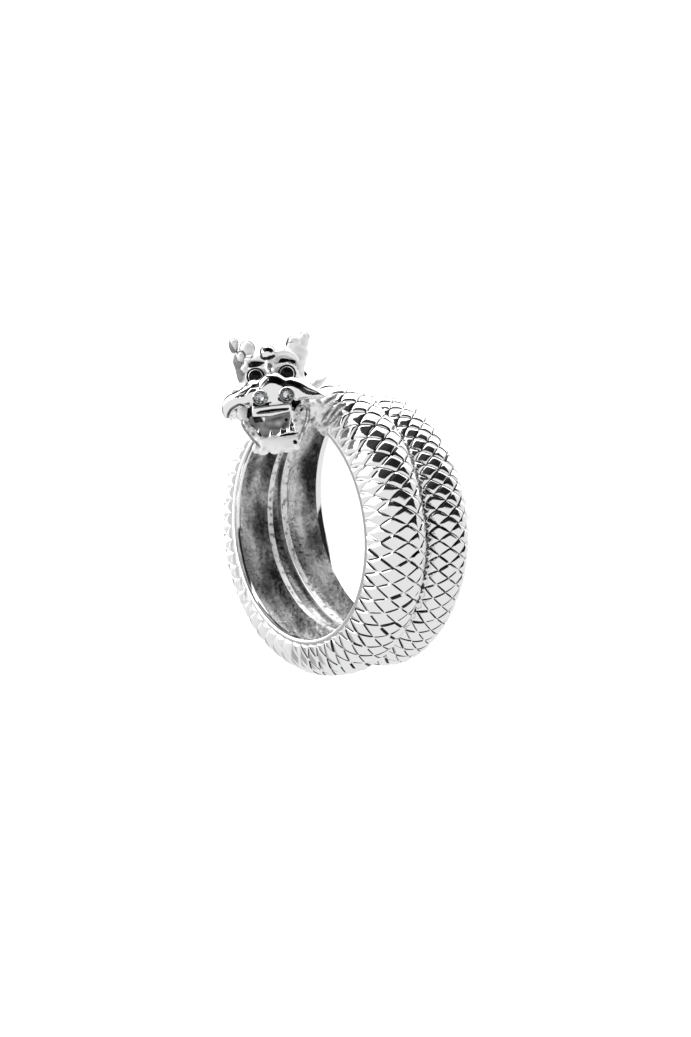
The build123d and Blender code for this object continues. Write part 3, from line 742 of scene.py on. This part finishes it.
MARKS = [
    # Painted shade under the brows, and between them
    mark(blob((-1.5, 2.06), (-1.27, 2.14), (-0.84, 2.1), (-0.34, 2.0), (-0.58, 1.88), (-0.75, 1.77),
         (-1.07, 1.74), (-1.48, 1.77)), 0.22, 0.9),
    mark(blob((0.66, 1.86), (0.88, 2.14), (1.37, 2.06), (1.82, 1.92), (1.93, 1.79), (1.8, 1.74),
         (1.41, 1.87), (1.03, 1.83)), 0.22, 0.4),
    mark(area((-0.1, 1.9), (0.09, 1.91), (0.2, 1.65), (0.07, 1.44), (-0.2, 1.43), (-0.14, 1.69)),
         0.06, 1.2, AS_DIM),
    # Painted shade round the eyes, and under the left lid
    *(mark(ring(centre, 0.53, 0.64), 0.25, 1.2, front=2) for centre in EYES.values()),
    mark(area((-1.51, 0.3), (-1.34, 0.46), (-0.99, 0.49), (-0.88, 0.45), (-0.9, 0.22), (-1.49, 0.24)),
         0.15, 1.4),
    # Painted shadow round the nostrils, below them
    mark(blob((-1.5, -1.02), (-1.46, -0.85), (-1.25, -1.0), (-0.82, -1.08), (-0.42, -0.95),
         (-0.17, -0.98), (-0.7, -1.15), (-1.32, -1.13)), 0.1, 2.2),
    mark(blob((0.4, -0.68), (0.36, -0.77), (0.55, -0.98), (0.89, -1.11), (1.14, -1.08), (0.96, -1.0),
         (0.65, -0.9)), 0.1, 2.2),
    # Painted shade in the mouth's corners, the lip's slit and the chin
    mark(blob((-1.58, -1.12), (-1.81, -1.19), (-1.95, -1.39), (-2.04, -1.76), (-1.92, -1.96),
         (-1.68, -2.0), (-1.74, -1.73), (-1.66, -1.42)), 0.3, 0.9),
    mark(area((1.23, -1.15), (1.47, -0.94), (1.58, -1.06), (2.01, -1.19), (1.84, -1.31), (1.58, -1.38),
         (1.44, -1.52), (1.33, -1.35)), 0.25, 0.9),
    mark(area((1.83, -1.41), (1.96, -1.36), (1.92, -1.48)), 0.1, 0.6),
    mark(area((1.85, -1.7), (2.05, -1.62), (2.0, -1.82), (1.86, -1.86)), 0.1, 0.6),
    mark(line(0.14, (-1.26, -1.59), (-0.7, -1.56), (0.1, -1.55), (1.02, -1.58)), 0.25, 2.2),
    mark(line(0.11, (0.2, -3.48), (0.6, -3.43), (1.0, -3.42), (1.52, -3.4)), 0.15, 1.6),
    mark(area((1.1, -3.94), (1.24, -3.86), (1.4, -4.07), (1.33, -4.16), (1.15, -4.13)), 0.3, 1.6),
    # Painted reflection: dark crescents along the muzzle's ridge, broken over the right nostril
    mark(blob((-0.39, 1.0), (-0.02, 0.93), (0.52, 0.73), (0.82, 0.54), (1.02, 0.35), (0.9, 0.27),
         (0.36, 0.37), (0, 0.48), (-0.35, 0.5), (-0.16, 0.68), (-0.25, 0.85)), 0.03, 1.6),
    mark(blob((1.07, 0.4), (1.31, 0.46), (1.8, 0.28), (2.14, -0.02), (2.46, -0.32), (2.97, -0.56),
         (3.42, -0.71), (3.01, -0.76), (2.54, -0.67), (2.16, -0.45), (1.82, -0.11), (1.41, 0.16),
         (1.1, 0.26)), 0.03, 0.8),
    # Painted reflection on the forehead ball's band, and painted shade along its outline and underside
    mark(blob((-0.35, 3.04), (-0.1, 3.01), (0.29, 2.84), (0.24, 2.66), (0.0, 2.78), (-0.3, 2.8)),
         0, 1.6),
    mark(line(0.09, (-0.5, 2.5), (-0.54, 2.75), (-0.45, 3.0), (-0.28, 3.18)), 0, 1.2),
    mark(line(0.05, (-0.45, 3.0), (-0.3, 3.17), (-0.03, 3.24), (0.25, 3.17), (0.45, 2.95)),
         0, 1, AS_DIM),
    mark(blob((-0.58, 2.52), (-0.43, 2.38), (-0.05, 2.36), (0.4, 2.44), (0.5, 2.36), (0.31, 2.24),
         (0.05, 2.18), (-0.32, 2.17), (-0.54, 2.33)), 0.04, 1),
    # Fine lines of the strands, lids, horns and bridge: grooves filled with painted shade
    mark(line(0.09, (-2.75, -0.32), (-2.36, -0.24), (-2.07, -0.19), (-1.79, 0.07), (-1.52, 0.28)),
         0.1, 1.2),
    mark(line(0.09, (-3.7, -0.6), (-3.48, -0.34), (-3.17, -0.12), (-2.65, 0.04), (-2.11, 0.3),
         (-1.76, 0.66)), 0.06, 0.6),
    mark(line(0.14, (-3.3, -1.9), (-3.45, -1.76), (-3.35, -1.42), (-3.09, -1.11), (-2.76, -0.95),
         (-2.43, -0.86), (-2.15, -1.0)), 0.12, 0.9, AS_DIM),
    mark(line(0.08, (-0.49, 0.97), (-0.8, 0.75), (-0.92, 0.51), (-0.91, 0.29)), 0.05, 1.6, AS_DIM),
    mark(line(0.08, (-0.19, 0.87), (-0.31, 0.63), (-0.58, 0.41), (-0.83, 0.22)), 0.05, 1.6, AS_DIM),
    mark(line(0.09, (-1.95, 3.69), (-2.05, 3.42), (-2.22, 3.18), (-2.28, 3.0), (-2.03, 3.2)),
         0.08, -0.4, AS_DIM),
    mark(line(0.09, (-2.28, 2.81), (-2.12, 3.0), (-1.87, 2.99), (-1.71, 2.75), (-1.73, 2.5)),
         0.06, 0.1, AS_DIM),
    mark(line(0.07, (-1.9, 2.2), (-1.81, 2.41), (-1.64, 2.52), (-1.3, 2.48), (-1.06, 2.67)),
         0.05, 0.3, AS_DIM),
    mark(line(0.1, (1.23, 2.76), (1.34, 3.04), (1.48, 3.34), (1.57, 3.58), (1.68, 3.7)), 0.05, -0.4),
    mark(line(0.06, (1.47, 3.24), (1.69, 3.25), (1.85, 3.29)), 0.05, -0.4, AS_DIM),
    mark(line(0.08, (2.2, 3.6), (2.35, 3.74), (2.58, 3.87)), 0.05, -0.6, AS_DIM),
    mark(line(0.07, (1.4, 1.77), (1.71, 1.7), (1.94, 1.52), (2.05, 1.38), (1.97, 1.26)),
         0.03, 0.6, AS_DIM),
    # Painted shade along the horns' outlines, with no groove under it
    mark(line(0.05, (-2.78, 3.7), (-2.68, 3.93), (-2.44, 4.03), (-2.2, 3.93), (-2.1, 3.7)),
         0, -0.6, AS_DIM),
    mark(line(0.05, (-2.03, 3.3), (-1.85, 3.6), (-1.5, 3.75), (-1.15, 3.6), (-0.95, 3.3),
         (-0.96, 2.95)), 0, -0.4, AS_DIM),
    mark(line(0.05, (1.45, 3.5), (1.75, 3.72), (2.1, 3.7)), 0, -0.4, AS_DIM),
    mark(line(0.05, (2.38, 3.75), (2.6, 3.96), (2.85, 3.96), (3.07, 3.75), (3.1, 3.45)),
         0, -0.8, AS_DIM),
    mark(area((-0.9, 2.79), (-0.97, 2.6), (-1.18, 2.4), (-1.28, 2.4), (-1.15, 2.65)), 0.06, 0, AS_DIM),
    # Painted shade along the right cheek's edge, and in the roof of the mouth on the left
    mark(line(0.08, (2.22, -1.04), (2.6, -1.15), (2.57, -1.9), (2.42, -2.52), (2.05, -3.3),
         (1.55, -4.3)), 0.05, -0.6, AS_DIM),
    mark(line(0.06, (1.6, -1.4), (2.25, -1.5), (2.3, -2.1), (2.1, -2.7), (1.8, -3.3), (1.5, -3.9)),
         0.04, 0.6, AS_DIM),
    mark(blob((-1.6, -1.86), (-1.0, -1.88), (-0.88, -2.08), (-0.98, -2.28), (-1.5, -2.24)),
         0, 0.2, front=2),
    # Painted shade on the shaded sides of the left horn, its tine and the jaw
    mark(area((-2.44, 2.89), (-2.61, 2.34), (-2.46, 1.7), (-2.45, 1.13), (-2.31, 0.79), (-2.1, 0.72),
         (-1.95, 0.94), (-1.87, 1.31), (-2.04, 1.52), (-2.13, 1.78), (-1.93, 2.2), (-2.33, 2.38),
         (-2.34, 2.75)), 0, -1.5, AS_DIM),
    mark(area((-2.83, 3.9), (-2.66, 3.93), (-2.62, 3.64), (-2.38, 3.1), (-2.43, 2.88), (-2.66, 3.05),
         (-2.88, 3.5)), 0, -1.5, AS_DIM),
    mark(area((-2.56, -2.02), (-2.62, -2.33), (-2.4, -2.8), (-2.1, -3.27), (-1.7, -3.78),
         (-1.27, -4.25), (-1.33, -3.98), (-1.88, -3.26), (-2.1, -2.8), (-2.36, -2.3), (-2.38, -1.96)),
         0.04, -0.6, AS_DIM),
]


# The forehead's ball, the bead beside the left horn, and the jaw's front plane
BALL = (-0.03, 2.72, 1.75)
BEAD = (-2.75, 0.17)
JAW_FRONT = 1.55
JAW_SLOPE = 0.22


def build_head():
    """The dragon's head in one piece, without its stones and their bezels."""
    chance = np.random.default_rng(11)
    clay = Clay((-4.3, -5.2, -3.2), (4.5, 4.6, 3.6), CLAY_STEP)

    # Skull, cheeks and forehead
    for shape in (
        egg((0, 0.8, -0.6), (2.1, 2.1, 2.1)),
        egg((-1.7, -0.4, -0.2), (0.95, 1.5, 1.3)),
        egg((1.85, -0.5, -0.2), (0.95, 1.6, 1.3)),
        egg((0.05, -2.2, -0.5), (2.1, 1.9, 1.5)),
        egg((0, 1.95, 0.5), (1.7, 0.8, 1.0)),
        egg((-1.1, 1.04, 0.9), (0.85, 0.75, 0.85)),
        egg((1.2, 1.0, 0.9), (0.85, 0.75, 0.85)),
    ):
        clay.add(shape, 0.35)

    # Horns: a broad shaft with an inner lobe and an outer tine each
    for shape in (
        strand((-1.9, -0.1, -0.2, 0.5), (-2.02, 0.9, 0, 0.42), (-2.12, 1.6, 0.1, 0.42),
               (-2.24, 2.3, 0.1, 0.45)),
        egg((-2.2, 2.6, 0.1), (0.5, 0.5, 0.4)),
        strand((-2.38, 2.8, 0, 0.2), (-2.44, 3.3, 0, 0.34), (-2.44, 3.7, 0, 0.39)),
        egg((-1.5, 3.15, 0.3), (0.62, 0.66, 0.5)),
        egg((-2.04, 2.66, 0.62), (0.31, 0.4, 0.3)),
        strand((2.2, -0.2, 0, 0.62), (2.0, 0.8, 0.1, 0.45), (2.12, 1.6, 0.1, 0.5), (2.15, 1.9, 0.15, 0.6)),
        egg((2.05, 2.45, 0.1), (0.92, 0.74, 0.55)),
        egg((1.9, 3.2, 0.2), (0.6, 0.6, 0.45)),
        strand((2.45, 2.7, 0, 0.36), (2.66, 3.2, -0.1, 0.42), (2.73, 3.58, -0.15, 0.42)),
        egg((*BEAD, 0.4), (0.2, 0.16, 0.2)),
    ):
        clay.add(shape, 0.08)

    # Brows, lids, bridge of the nose and the forehead's ball
    for shape in (
        strand((-1.55, 2.4, 1.25, 0.26), (-0.95, 2.42, 1.5, 0.27), (-0.35, 2.28, 1.65, 0.24)),
        strand((0.4, 2.4, 1.6, 0.26), (1.05, 2.56, 1.6, 0.3), (1.55, 2.36, 1.45, 0.28),
               (2.0, 1.98, 1.2, 0.2)),
        egg((-1.87, 1.64, 1.15), (0.34, 0.3, 0.35)),
        egg((-1.66, 1.97, 1.25), (0.22, 0.17, 0.25)),
        strand((-1.75, 1.55, 1.2, 0.14), (-1.1, 1.73, 1.6, 0.15), (-0.35, 1.6, 1.8, 0.15)),
        strand((0.45, 1.62, 1.8, 0.15), (1.15, 1.74, 1.7, 0.16), (1.85, 1.5, 1.3, 0.14)),
        strand((0, 2.15, 1.5, 0.42), (0.02, 1.5, 1.8, 0.34), (0.02, 0.9, 2.1, 0.4)),
    ):
        clay.add(shape, 0.12)
    clay.add(egg(BALL, (0.58, 0.58, 0.58)), 0.05)

    # Muzzle, cut flat over the lips, with its two wings, the left one curled down
    muzzle = [(-1.75, 0.3), (-0.75, 0.92), (0, 1.25), (0.6, 1.15), (1.0, 0.82), (1.5, 0.2), (1.9, -0.4),
              (1.9, -2.2), (-1.8, -2.2)]
    clay.add(slab(muzzle, 0.3, 3.05, 0.76, 0.09), 0.2)
    clay.cut(slab([(-2.6, -1.08), (2.6, -1.08), (2.6, -2.6), (-2.6, -2.6)], 0.75, 4, 0.02))
    for shape in (
        strand((1.3, 0, 2.1, 0.8), (1.8, -0.2, 2.0, 0.8), (2.35, -0.42, 1.8, 0.62), (2.75, -0.55, 1.6, 0.5),
               (3.3, -0.8, 1.35, 0.3), (3.8, -0.95, 1.1, 0.1)),
        strand((-1.4, -0.15, 2.2, 0.7), (-2.4, -0.36, 2.1, 0.68), (-3.05, -0.62, 1.8, 0.59),
               (-3.43, -1.08, 1.6, 0.42), (-3.47, -1.55, 1.5, 0.24), (-3.25, -1.88, 1.5, 0.13)),
    ):
        clay.add(shape, 0.08)
    for shape in (
        strand((-2.5, 0.0, 1.9, 0.12), (-2.0, 0.16, 2.1, 0.15), (-1.5, 0.46, 2.2, 0.17),
               (-1.0, 0.62, 2.3, 0.16)),
        strand((-0.95, 0.35, 2.5, 0.1), (-0.75, 0.62, 2.5, 0.12), (-0.5, 0.9, 2.3, 0.1)),
        egg((-1.25, 0.66, 2.0), (0.44, 0.2, 0.3), 6),
        egg((-2.43, -1.38, 1.55), (0.36, 0.66, 0.4), -22),
        egg((-3.0, -1.35, 1.0), (0.5, 0.5, 0.35)),
    ):
        clay.add(shape, 0.05)

    # Lips and jaws round the open mouth
    jaw = [(-2.5, -1.7), (-2.6, -2.3), (-2.4, -2.8), (-2.1, -3.27), (-1.4, -4.3), (1.45, -4.55), (2.09, -3.3),
           (2.46, -2.52), (2.65, -1.5), (2.65, -1.15), (2.2, -0.6), (-1.9, -0.8)]
    clay.add(slab(jaw, -0.6, JAW_FRONT, 0.12, 0, JAW_SLOPE), 0.1)
    chin = [(-1.35, -3.5), (1.55, -3.55), (1.4, -4.42), (-1.5, -4.3)]
    clay.add(slab(chin, 0.2, 2.6, 0.2, 0.08), 0.06)
    scallops = ((-1.68, -4.2, 0.26), (-1.14, -4.38, 0.44), (-0.28, -4.4, 0.44), (0.6, -4.38, 0.44),
                (1.3, -4.3, 0.26))
    for x, y, across in scallops:
        clay.add(egg((x, y, 2.1), (across, 0.36, 0.5)), 0.04)
    mouth = slab([(-1.65, -1.7), (1.08, -1.7), (1.08, -2.1), (0.93, -2.54), (0.68, -2.95), (0.2, -3.12),
                  (-0.2, -3.42), (-1.1, -3.45), (-1.56, -2.64), (-2.05, -2.25)], 0.75, 3.3, 0.1)
    clay.cut(mouth, 0.05)
    lip = [(-1.65, -1.1), (1.3, -1.1), (1.28, -1.75), (-0.3, -1.98), (-1.65, -1.88)]
    clay.add(slab(lip, 0.3, 2.85, 0.14), 0.05)
    clay.add(strand((-0.5, -2.45, 0.7, 0.3), (0.2, -2.5, 0.9, 0.36), (0.75, -2.3, 0.8, 0.25)), 0.2)
    teeth = ((-1.27, -3.15, 0.34), (-0.44, -3.26, 0.26), (0.31, -3.2, 0.28), (1.0, -2.93, 0.26),
             (-0.85, -2.05, -0.2))
    for x, y, tall in teeth:
        clay.add(strand((x, y - tall, 2.2, 0.25), (x + 0.02, y + tall, 2.15, 0.09)), 0.04)

    for flat, depth, back, front, _ in MARKS:
        if depth:
            clay.engrave(flat, depth, back, front)

    # Beaded skin on the cheek and inside the jaw's left edge
    beaded = [
        [(1.75, -1.3), (2.6, -1.2), (2.6, -1.9), (2.4, -2.6), (2.0, -3.4), (1.5, -4.4), (1.45, -3.6),
         (1.25, -2.6), (1.35, -1.9)],
        [(-2.35, -2.1), (-1.95, -2.3), (-1.2, -3.5), (-1.35, -4.0), (-2.0, -3.1)],
    ]
    for outline, count in zip(beaded, (150, 60)):
        for x, y in scatter(chance, outline, count):
            size = chance.uniform(0.07, 0.14)
            clay.add(egg((x, y, JAW_FRONT - JAW_SLOPE * y - 0.02), (size, size, size)), 0.03)

    points, quads = clay.mesh()
    x, y, z = points[quads].mean(1).T

    def near(centre, square):
        """Which faces lie near a place, within the root of a square."""
        return sum((own - other) ** 2 for own, other in zip((x, y, z), centre)) < square

    kinds = np.zeros(len(quads), np.int32)
    kinds[((z < 2.1) & (y > 0.3)) | ((y < -3.35) & (z > 1.7))] = AS_SATIN
    kinds[(x > -2.65) & (x < -1.95) & (y > -2.1) & (y < -1.1)] = AS_SATIN
    kinds[near(BALL, 0.38)] = AS_METAL
    for outline in beaded:
        kinds[(area(*outline)[2](x, y) < 0) & (z > 0.9)] = AS_GRAIN
    # The inside of the mouth: unpolished metal, darkened as painted shade
    kinds[(mouth[2](x, y, z) < 0.04) & (z < 2.0)] = AS_MOUTH
    kinds[near(BEAD, 0.05)] = AS_DIM
    # The marks' painted shade and painted reflections
    for flat, _, back, front, kind in MARKS:
        kinds[(flat[2](x, y) < 0.02) & (z > back) & (z < front)] = kind
    # A painted shade spot inside the mouth
    kinds[near((0.78, -2.33), 0.016)] = AS_SHADE
    head = add_mesh("head", on_head(points), quads, HEAD_METALS, kinds, 180)


def lathe(name, centre, profile, sides, materials, smooth_angle=40, kind=None):
    """A piece turned round an axis out of the face. profile: (radius, z) pairs from its outer foot.

    kind(row, side) gives the number of each facet's material.
    """
    angle = np.linspace(0, 2 * math.pi, sides, endpoint=False)
    points = []
    for radius, z in profile:
        x, y = centre[0] + radius * np.cos(angle), centre[1] + radius * np.sin(angle)
        points.append(np.stack([x, y, z + 0 * angle], 1))
    faces, kinds = [], []
    for i in range(len(profile) - 1):
        for j in range(sides):
            k = (j + 1) % sides
            faces.append((i * sides + j, i * sides + k, (i + 1) * sides + k, (i + 1) * sides + j))
            kinds.append(kind(i, j) if kind else 0)
    last = (len(profile) - 1) * sides
    faces.append(tuple(range(last, last + sides)))
    faces.append(tuple(range(sides - 1, -1, -1)))
    return add_mesh(name, on_head(np.concatenate(points)), faces, materials, kinds + [0, 0], smooth_angle)


def build_stones():
    """The four stones and the bezels that hold them."""
    eye_rim = [(0.5, 1.1), (0.52, 1.6), (0.53, 1.86), (0.52, 1.92), (0.5, 1.94), (0.475, 1.92), (0.46, 1.86),
               (0.455, 1.7), (0.1, 1.62)]
    nostril_rim = [(0.54, 2.4), (0.58, 2.9), (0.58, 3.2), (0.56, 3.27), (0.52, 3.3), (0.49, 3.27),
                   (0.47, 3.2), (0.44, 3.02), (0.25, 2.94), (0.1, 2.92)]
    wide, level, tall = 0.445, 1.78, 0.17
    dome = [(0.44, 1.64), (wide, level)]
    dome += [(wide * math.cos(a), level + tall * math.sin(a)) for a in np.linspace(0.15, 1.45, 9)]
    cut_glass = [(0.06, 2.95), (0.43, 3.14), (0.43, 3.18), (0.25, 3.36)]
    for side, centre in EYES.items():
        bezel = lathe("eye_bezel_" + side, centre, eye_rim, 64, [METAL])
        stone = lathe("eye_black_" + side, centre, dome, 64, [BLACK_STONE])
        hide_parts("eye_stone_" + side)
    chance = np.random.default_rng(3)
    metals = [METAL, SHADE, DIM]
    seat_row, underside = 6, 14
    for side, centre in NOSTRILS.items():
        reflection_speck_share = {"left": 0.6, "right": 0.95}[side]

        def rim_kind(row, number):
            """Painted reflection: dark specks in the seat, seen through the stone; and painted shade on a dim
            underside.
            """
            return int(chance.random() < reflection_speck_share) if row >= seat_row else 2 * int(number > underside)

        bezel = lathe("nostril_bezel_" + side, centre, nostril_rim, 32, metals, 40, rim_kind)
        stone = lathe("nostril_clear_" + side, centre, cut_glass, 8, [CLEAR_STONE], 5)
        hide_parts("nostril_stone_" + side)


# Neck: its foot on the band as a turn, a radius and a height, and how far it bows back
NECK_FOOT = (0.04, 10.0, 8.1)
NECK_BOW = 1.35
NECK_STATIONS = 15
NECK_COLUMNS = 16
NECK_RELIEF = 0.9
MANE_STEP = 0.07


def build_neck():
    """The neck from the band to the back of the skull, and the mane at the throat."""
    foot = on_ring(*np.array(NECK_FOOT))
    crown = on_head((0, 0.2, -1.6))
    shares = np.array([0, 0.2, 0.48, 0.78, 1.0])
    back = np.array([0, 0.95, 1.4, 0.95, 0]) * NECK_BOW
    rise = np.array([0, 0.2, 0.35, 0.25, 0]) * NECK_BOW
    radii = np.array([1.25, 1.3, 1.42, 1.5, 1.5])
    middles = foot + shares[:, None] * (crown - foot) + np.column_stack([-back, rise, 0 * rise])
    run = smooth_path(np.column_stack([middles, radii]), 8)
    along = np.gradient(run[:, :3], axis=0)
    along /= np.linalg.norm(along, axis=1, keepdims=True)
    side = np.cross(along, np.array([0, 1.0, 0]))
    side /= np.linalg.norm(side, axis=1, keepdims=True)
    up = np.cross(side, along)

    def neck_point(station, column, lift):
        """Points of the neck's surface, lifted off it."""
        place = np.clip(station / NECK_STATIONS, 0, 1) * (len(run) - 1)

        def pick(table):
            """The table's row at each place."""
            return np.stack([np.interp(place, np.arange(len(run)), row) for row in table.T], -1)

        middle = pick(run)
        angle = 2 * math.pi * column / NECK_COLUMNS
        radius = (middle[..., 3] + lift * NECK_RELIEF)[..., None]
        outward = np.cos(angle)[..., None] * pick(side) + np.sin(angle)[..., None] * pick(up)
        return middle[..., :3] + radius * outward

    def neck_kind(station, column, cleft):
        """Painted shade in the clefts between bright scales."""
        return AS_CLEFT_SHADE if cleft else AS_BRIGHT

    points, faces, kinds = scale_sheet(neck_point, NECK_STATIONS, NECK_COLUMNS, True, 9, neck_kind)
    neck = add_mesh("neck_scales", points, faces, [METAL, SHADE], kinds, 35)

    clay = Clay((1.6, -5.2, -4.2), (6.2, 1.4, 1.6), MANE_STEP)
    for shape in (
        strand((2.3, -1.5, 0.2, 0.6), (2.9, -1.6, -0.2, 0.6), (3.4, -1.8, -0.8, 0.7), (3.7, -2.2, -1.6, 0.8)),
        strand((2.5, -2.0, 0.0, 0.5), (2.9, -2.4, -0.4, 0.5), (3.3, -2.9, -1.0, 0.5), (3.5, -3.4, -1.8, 0.4)),
        strand((2.9, -1.5, -0.3, 0.45), (3.4, -1.5, -0.6, 0.42), (3.9, -1.7, -1.2, 0.35)),
    ):
        clay.add(shape, 0.25)
    locks = [
        ((3.3, -2.75, -0.5), (3.7, -2.3, -0.35), (4.3, -1.6, -0.8)),
        ((3.6, -3.0, -0.8), (4.1, -2.4, -0.5), (4.95, -1.45, -1.0)),
        ((4.0, -2.9, -0.9), (4.6, -2.4, -0.7), (5.2, -1.95, -1.2)),
        ((3.6, -1.5, -0.3), (4.1, -1.2, -0.4), (4.75, -0.8, -0.9)),
        ((4.5, -2.0, -0.8), (4.9, -1.75, -0.8), (5.55, -1.5, -1.3)),
        ((4.7, -2.5, -1.0), (5.2, -2.2, -1.0), (5.8, -2.0, -1.5)),
    ]
    for root, middle, tip in locks:
        clay.add(strand((*root, 0.22), (*middle, 0.32), (*tip, 0.06)), 0.03)
    clay.add(strand((2.7, -0.3, -0.3, 0.3), (3.3, 0.05, -0.4, 0.32), (3.9, 0.4, -0.5, 0.14),
                    (4.25, 0.62, -0.6, 0.04)), 0.05)
    throat = [(2.1, -1.0), (3.5, -1.0), (3.5, -3.2), (3.3, -3.6), (2.6, -2.8)]
    for x, y in scatter(np.random.default_rng(4), throat, 70):
        clay.add(egg((x, y, 0.75 - 0.75 * (x - 2)), (0.1, 0.14, 0.14), -40), 0.03)
    points, quads = clay.mesh(3)
    x, y, z = points[quads].mean(1).T
    kinds = np.full(len(quads), AS_GRAIN, np.int32)
    # Painted shade in grey along each lock, and along the spike's upper edge
    for root, middle, tip in locks:
        leaf = line(0.22, root[:2], middle[:2], tip[:2])
        kinds[leaf[2](x, y) < 0] = AS_DIM
    kinds[(y > -0.35) & (x > 2.6)] = AS_SATIN
    kinds[line(0.07, (3.1, 0.12), (3.3, 0.3), (3.5, 0.42))[2](x, y) < 0] = AS_DIM
    mane = add_mesh("mane", on_head(points), quads, HEAD_METALS, kinds, 180)


build_band()
build_head()
build_stones()
build_neck()

# Camera: the photo's, in the frame's own millimetres
PHOTO_WIDTH, PHOTO_HEIGHT = 691, 1037
CAMERA_FROM_AXIS = math.radians(54.34)
CAMERA_ROLL = math.radians(-8.71)
CAMERA_DISTANCE = 500.0
AIM_HEIGHT = 6.6
PIXELS_PER_MM = 13.449
AIM_PIXEL = (319.49, 519.34)
FLOOR_REACH = 3.0

look_back = Vector((math.sin(CAMERA_FROM_AXIS), 0, math.cos(CAMERA_FROM_AXIS)))
level_right = Vector((math.cos(CAMERA_FROM_AXIS), 0, -math.sin(CAMERA_FROM_AXIS)))
photo_right = math.cos(CAMERA_ROLL) * level_right + math.sin(CAMERA_ROLL) * Vector((0, 1, 0))
photo_up = look_back.cross(photo_right)


def add_camera():
    """A long lens at the photo's angle, moved sideways so that the ring stands where it does there."""
    data = bpy.data.cameras.new("camera")
    data.sensor_width = 24.0
    data.lens = data.sensor_width * PIXELS_PER_MM * CAMERA_DISTANCE / PHOTO_HEIGHT
    data.clip_start, data.clip_end = 0.05, 10
    camera = bpy.data.objects.new("camera", data)
    bpy.context.scene.collection.objects.link(camera)
    sideways = (PHOTO_WIDTH / 2 - AIM_PIXEL[0]) / PIXELS_PER_MM * photo_right
    sideways += (AIM_PIXEL[1] - PHOTO_HEIGHT / 2) / PIXELS_PER_MM * photo_up
    place = Vector((0, 0, AIM_HEIGHT)) + CAMERA_DISTANCE * look_back + sideways
    axes = Matrix((photo_right, photo_up, look_back)).transposed().to_4x4()
    camera.matrix_world = Matrix.Translation(place * MM) @ axes
    bpy.context.scene.camera = camera


def add_studio():
    """A pale floor, and soft light from all round with one dark gap for the metal to mirror."""
    world = bpy.data.worlds.new("studio")
    bpy.context.scene.world = world
    world.use_nodes = True
    tree = world.node_tree
    background = tree.nodes["Background"]
    background.inputs["Color"].default_value = (1, 1, 1, 1)
    place = tree.nodes.new("ShaderNodeTexCoord")

    def toward(direction):
        """How far a ray goes in a direction, from -1 to 1."""
        dot = tree.nodes.new("ShaderNodeVectorMath")
        dot.operation = "DOT_PRODUCT"
        tree.links.new(place.outputs["Generated"], dot.inputs[0])
        dot.inputs[1].default_value = direction.normalized()
        return dot.outputs["Value"]

    def between(value, low, high, out_low, out_high):
        """A smooth step of a value between two others."""
        step = tree.nodes.new("ShaderNodeMapRange")
        step.interpolation_type = "SMOOTHSTEP"
        tree.links.new(value, step.inputs["Value"])
        limits = {"From Min": low, "From Max": high, "To Min": out_low, "To Max": out_high}
        for socket, number in limits.items():
            step.inputs[socket].default_value = number
        return step.outputs["Result"]

    def combine(operation, first, second):
        """Two values in one."""
        node = tree.nodes.new("ShaderNodeMath")
        node.operation = operation
        tree.links.new(first, node.inputs[0])
        tree.links.new(second, node.inputs[1])
        return node.outputs["Value"]

    softbox = between(toward(photo_up - 0.55 * photo_right), 0.3, 0.62, 0.84, 2.6)
    overhead = between(toward(photo_up - 0.5 * look_back), 0.45, 0.6, 0.84, 1.6)
    over_edge = toward(0.75 * photo_right - 1.0 * photo_up + 3.6 * look_back)
    left_edge = toward(1.0 * photo_right + 0.45 * photo_up + 0.5 * look_back)
    under_edge = toward(photo_up - 0.22 * look_back)
    inside = combine("MINIMUM", combine("MINIMUM", over_edge, left_edge), under_edge)
    dark = between(inside, -0.02, 0.03, 1.0, 0.02)
    dim = between(toward(-0.75 * photo_right - 0.35 * photo_up - 0.55 * look_back), 0.87, 0.95, 1.0, 0.5)
    camera_ray = tree.nodes.new("ShaderNodeLightPath").outputs["Is Camera Ray"]
    seen = combine("MULTIPLY", combine("MULTIPLY", combine("MAXIMUM", softbox, overhead), dark), dim)
    tree.links.new(combine("MAXIMUM", seen, camera_ray), background.inputs["Strength"])

    floor_mesh = bpy.data.meshes.new("floor")
    corners = [(x * FLOOR_REACH, y * FLOOR_REACH, 0) for x, y in ((-1, -1), (1, -1), (1, 1), (-1, 1))]
    floor_mesh.from_pydata(corners, [], [(0, 1, 2, 3)])
    floor = bpy.data.objects.new("floor", floor_mesh)
    bpy.context.scene.collection.objects.link(floor)
    material, _, _ = node_material("floor_white", {
        "Base Color": (0.9, 0.9, 0.9, 1), "Roughness": 0.9, "Specular IOR Level": 0.0,
        "Emission Color": (1, 1, 1, 1), "Emission Strength": 0.6})
    floor_mesh.materials.append(material)
    floor.visible_glossy = False


add_camera()
add_studio()
scene = bpy.context.scene
scene.view_settings.view_transform = "Standard"
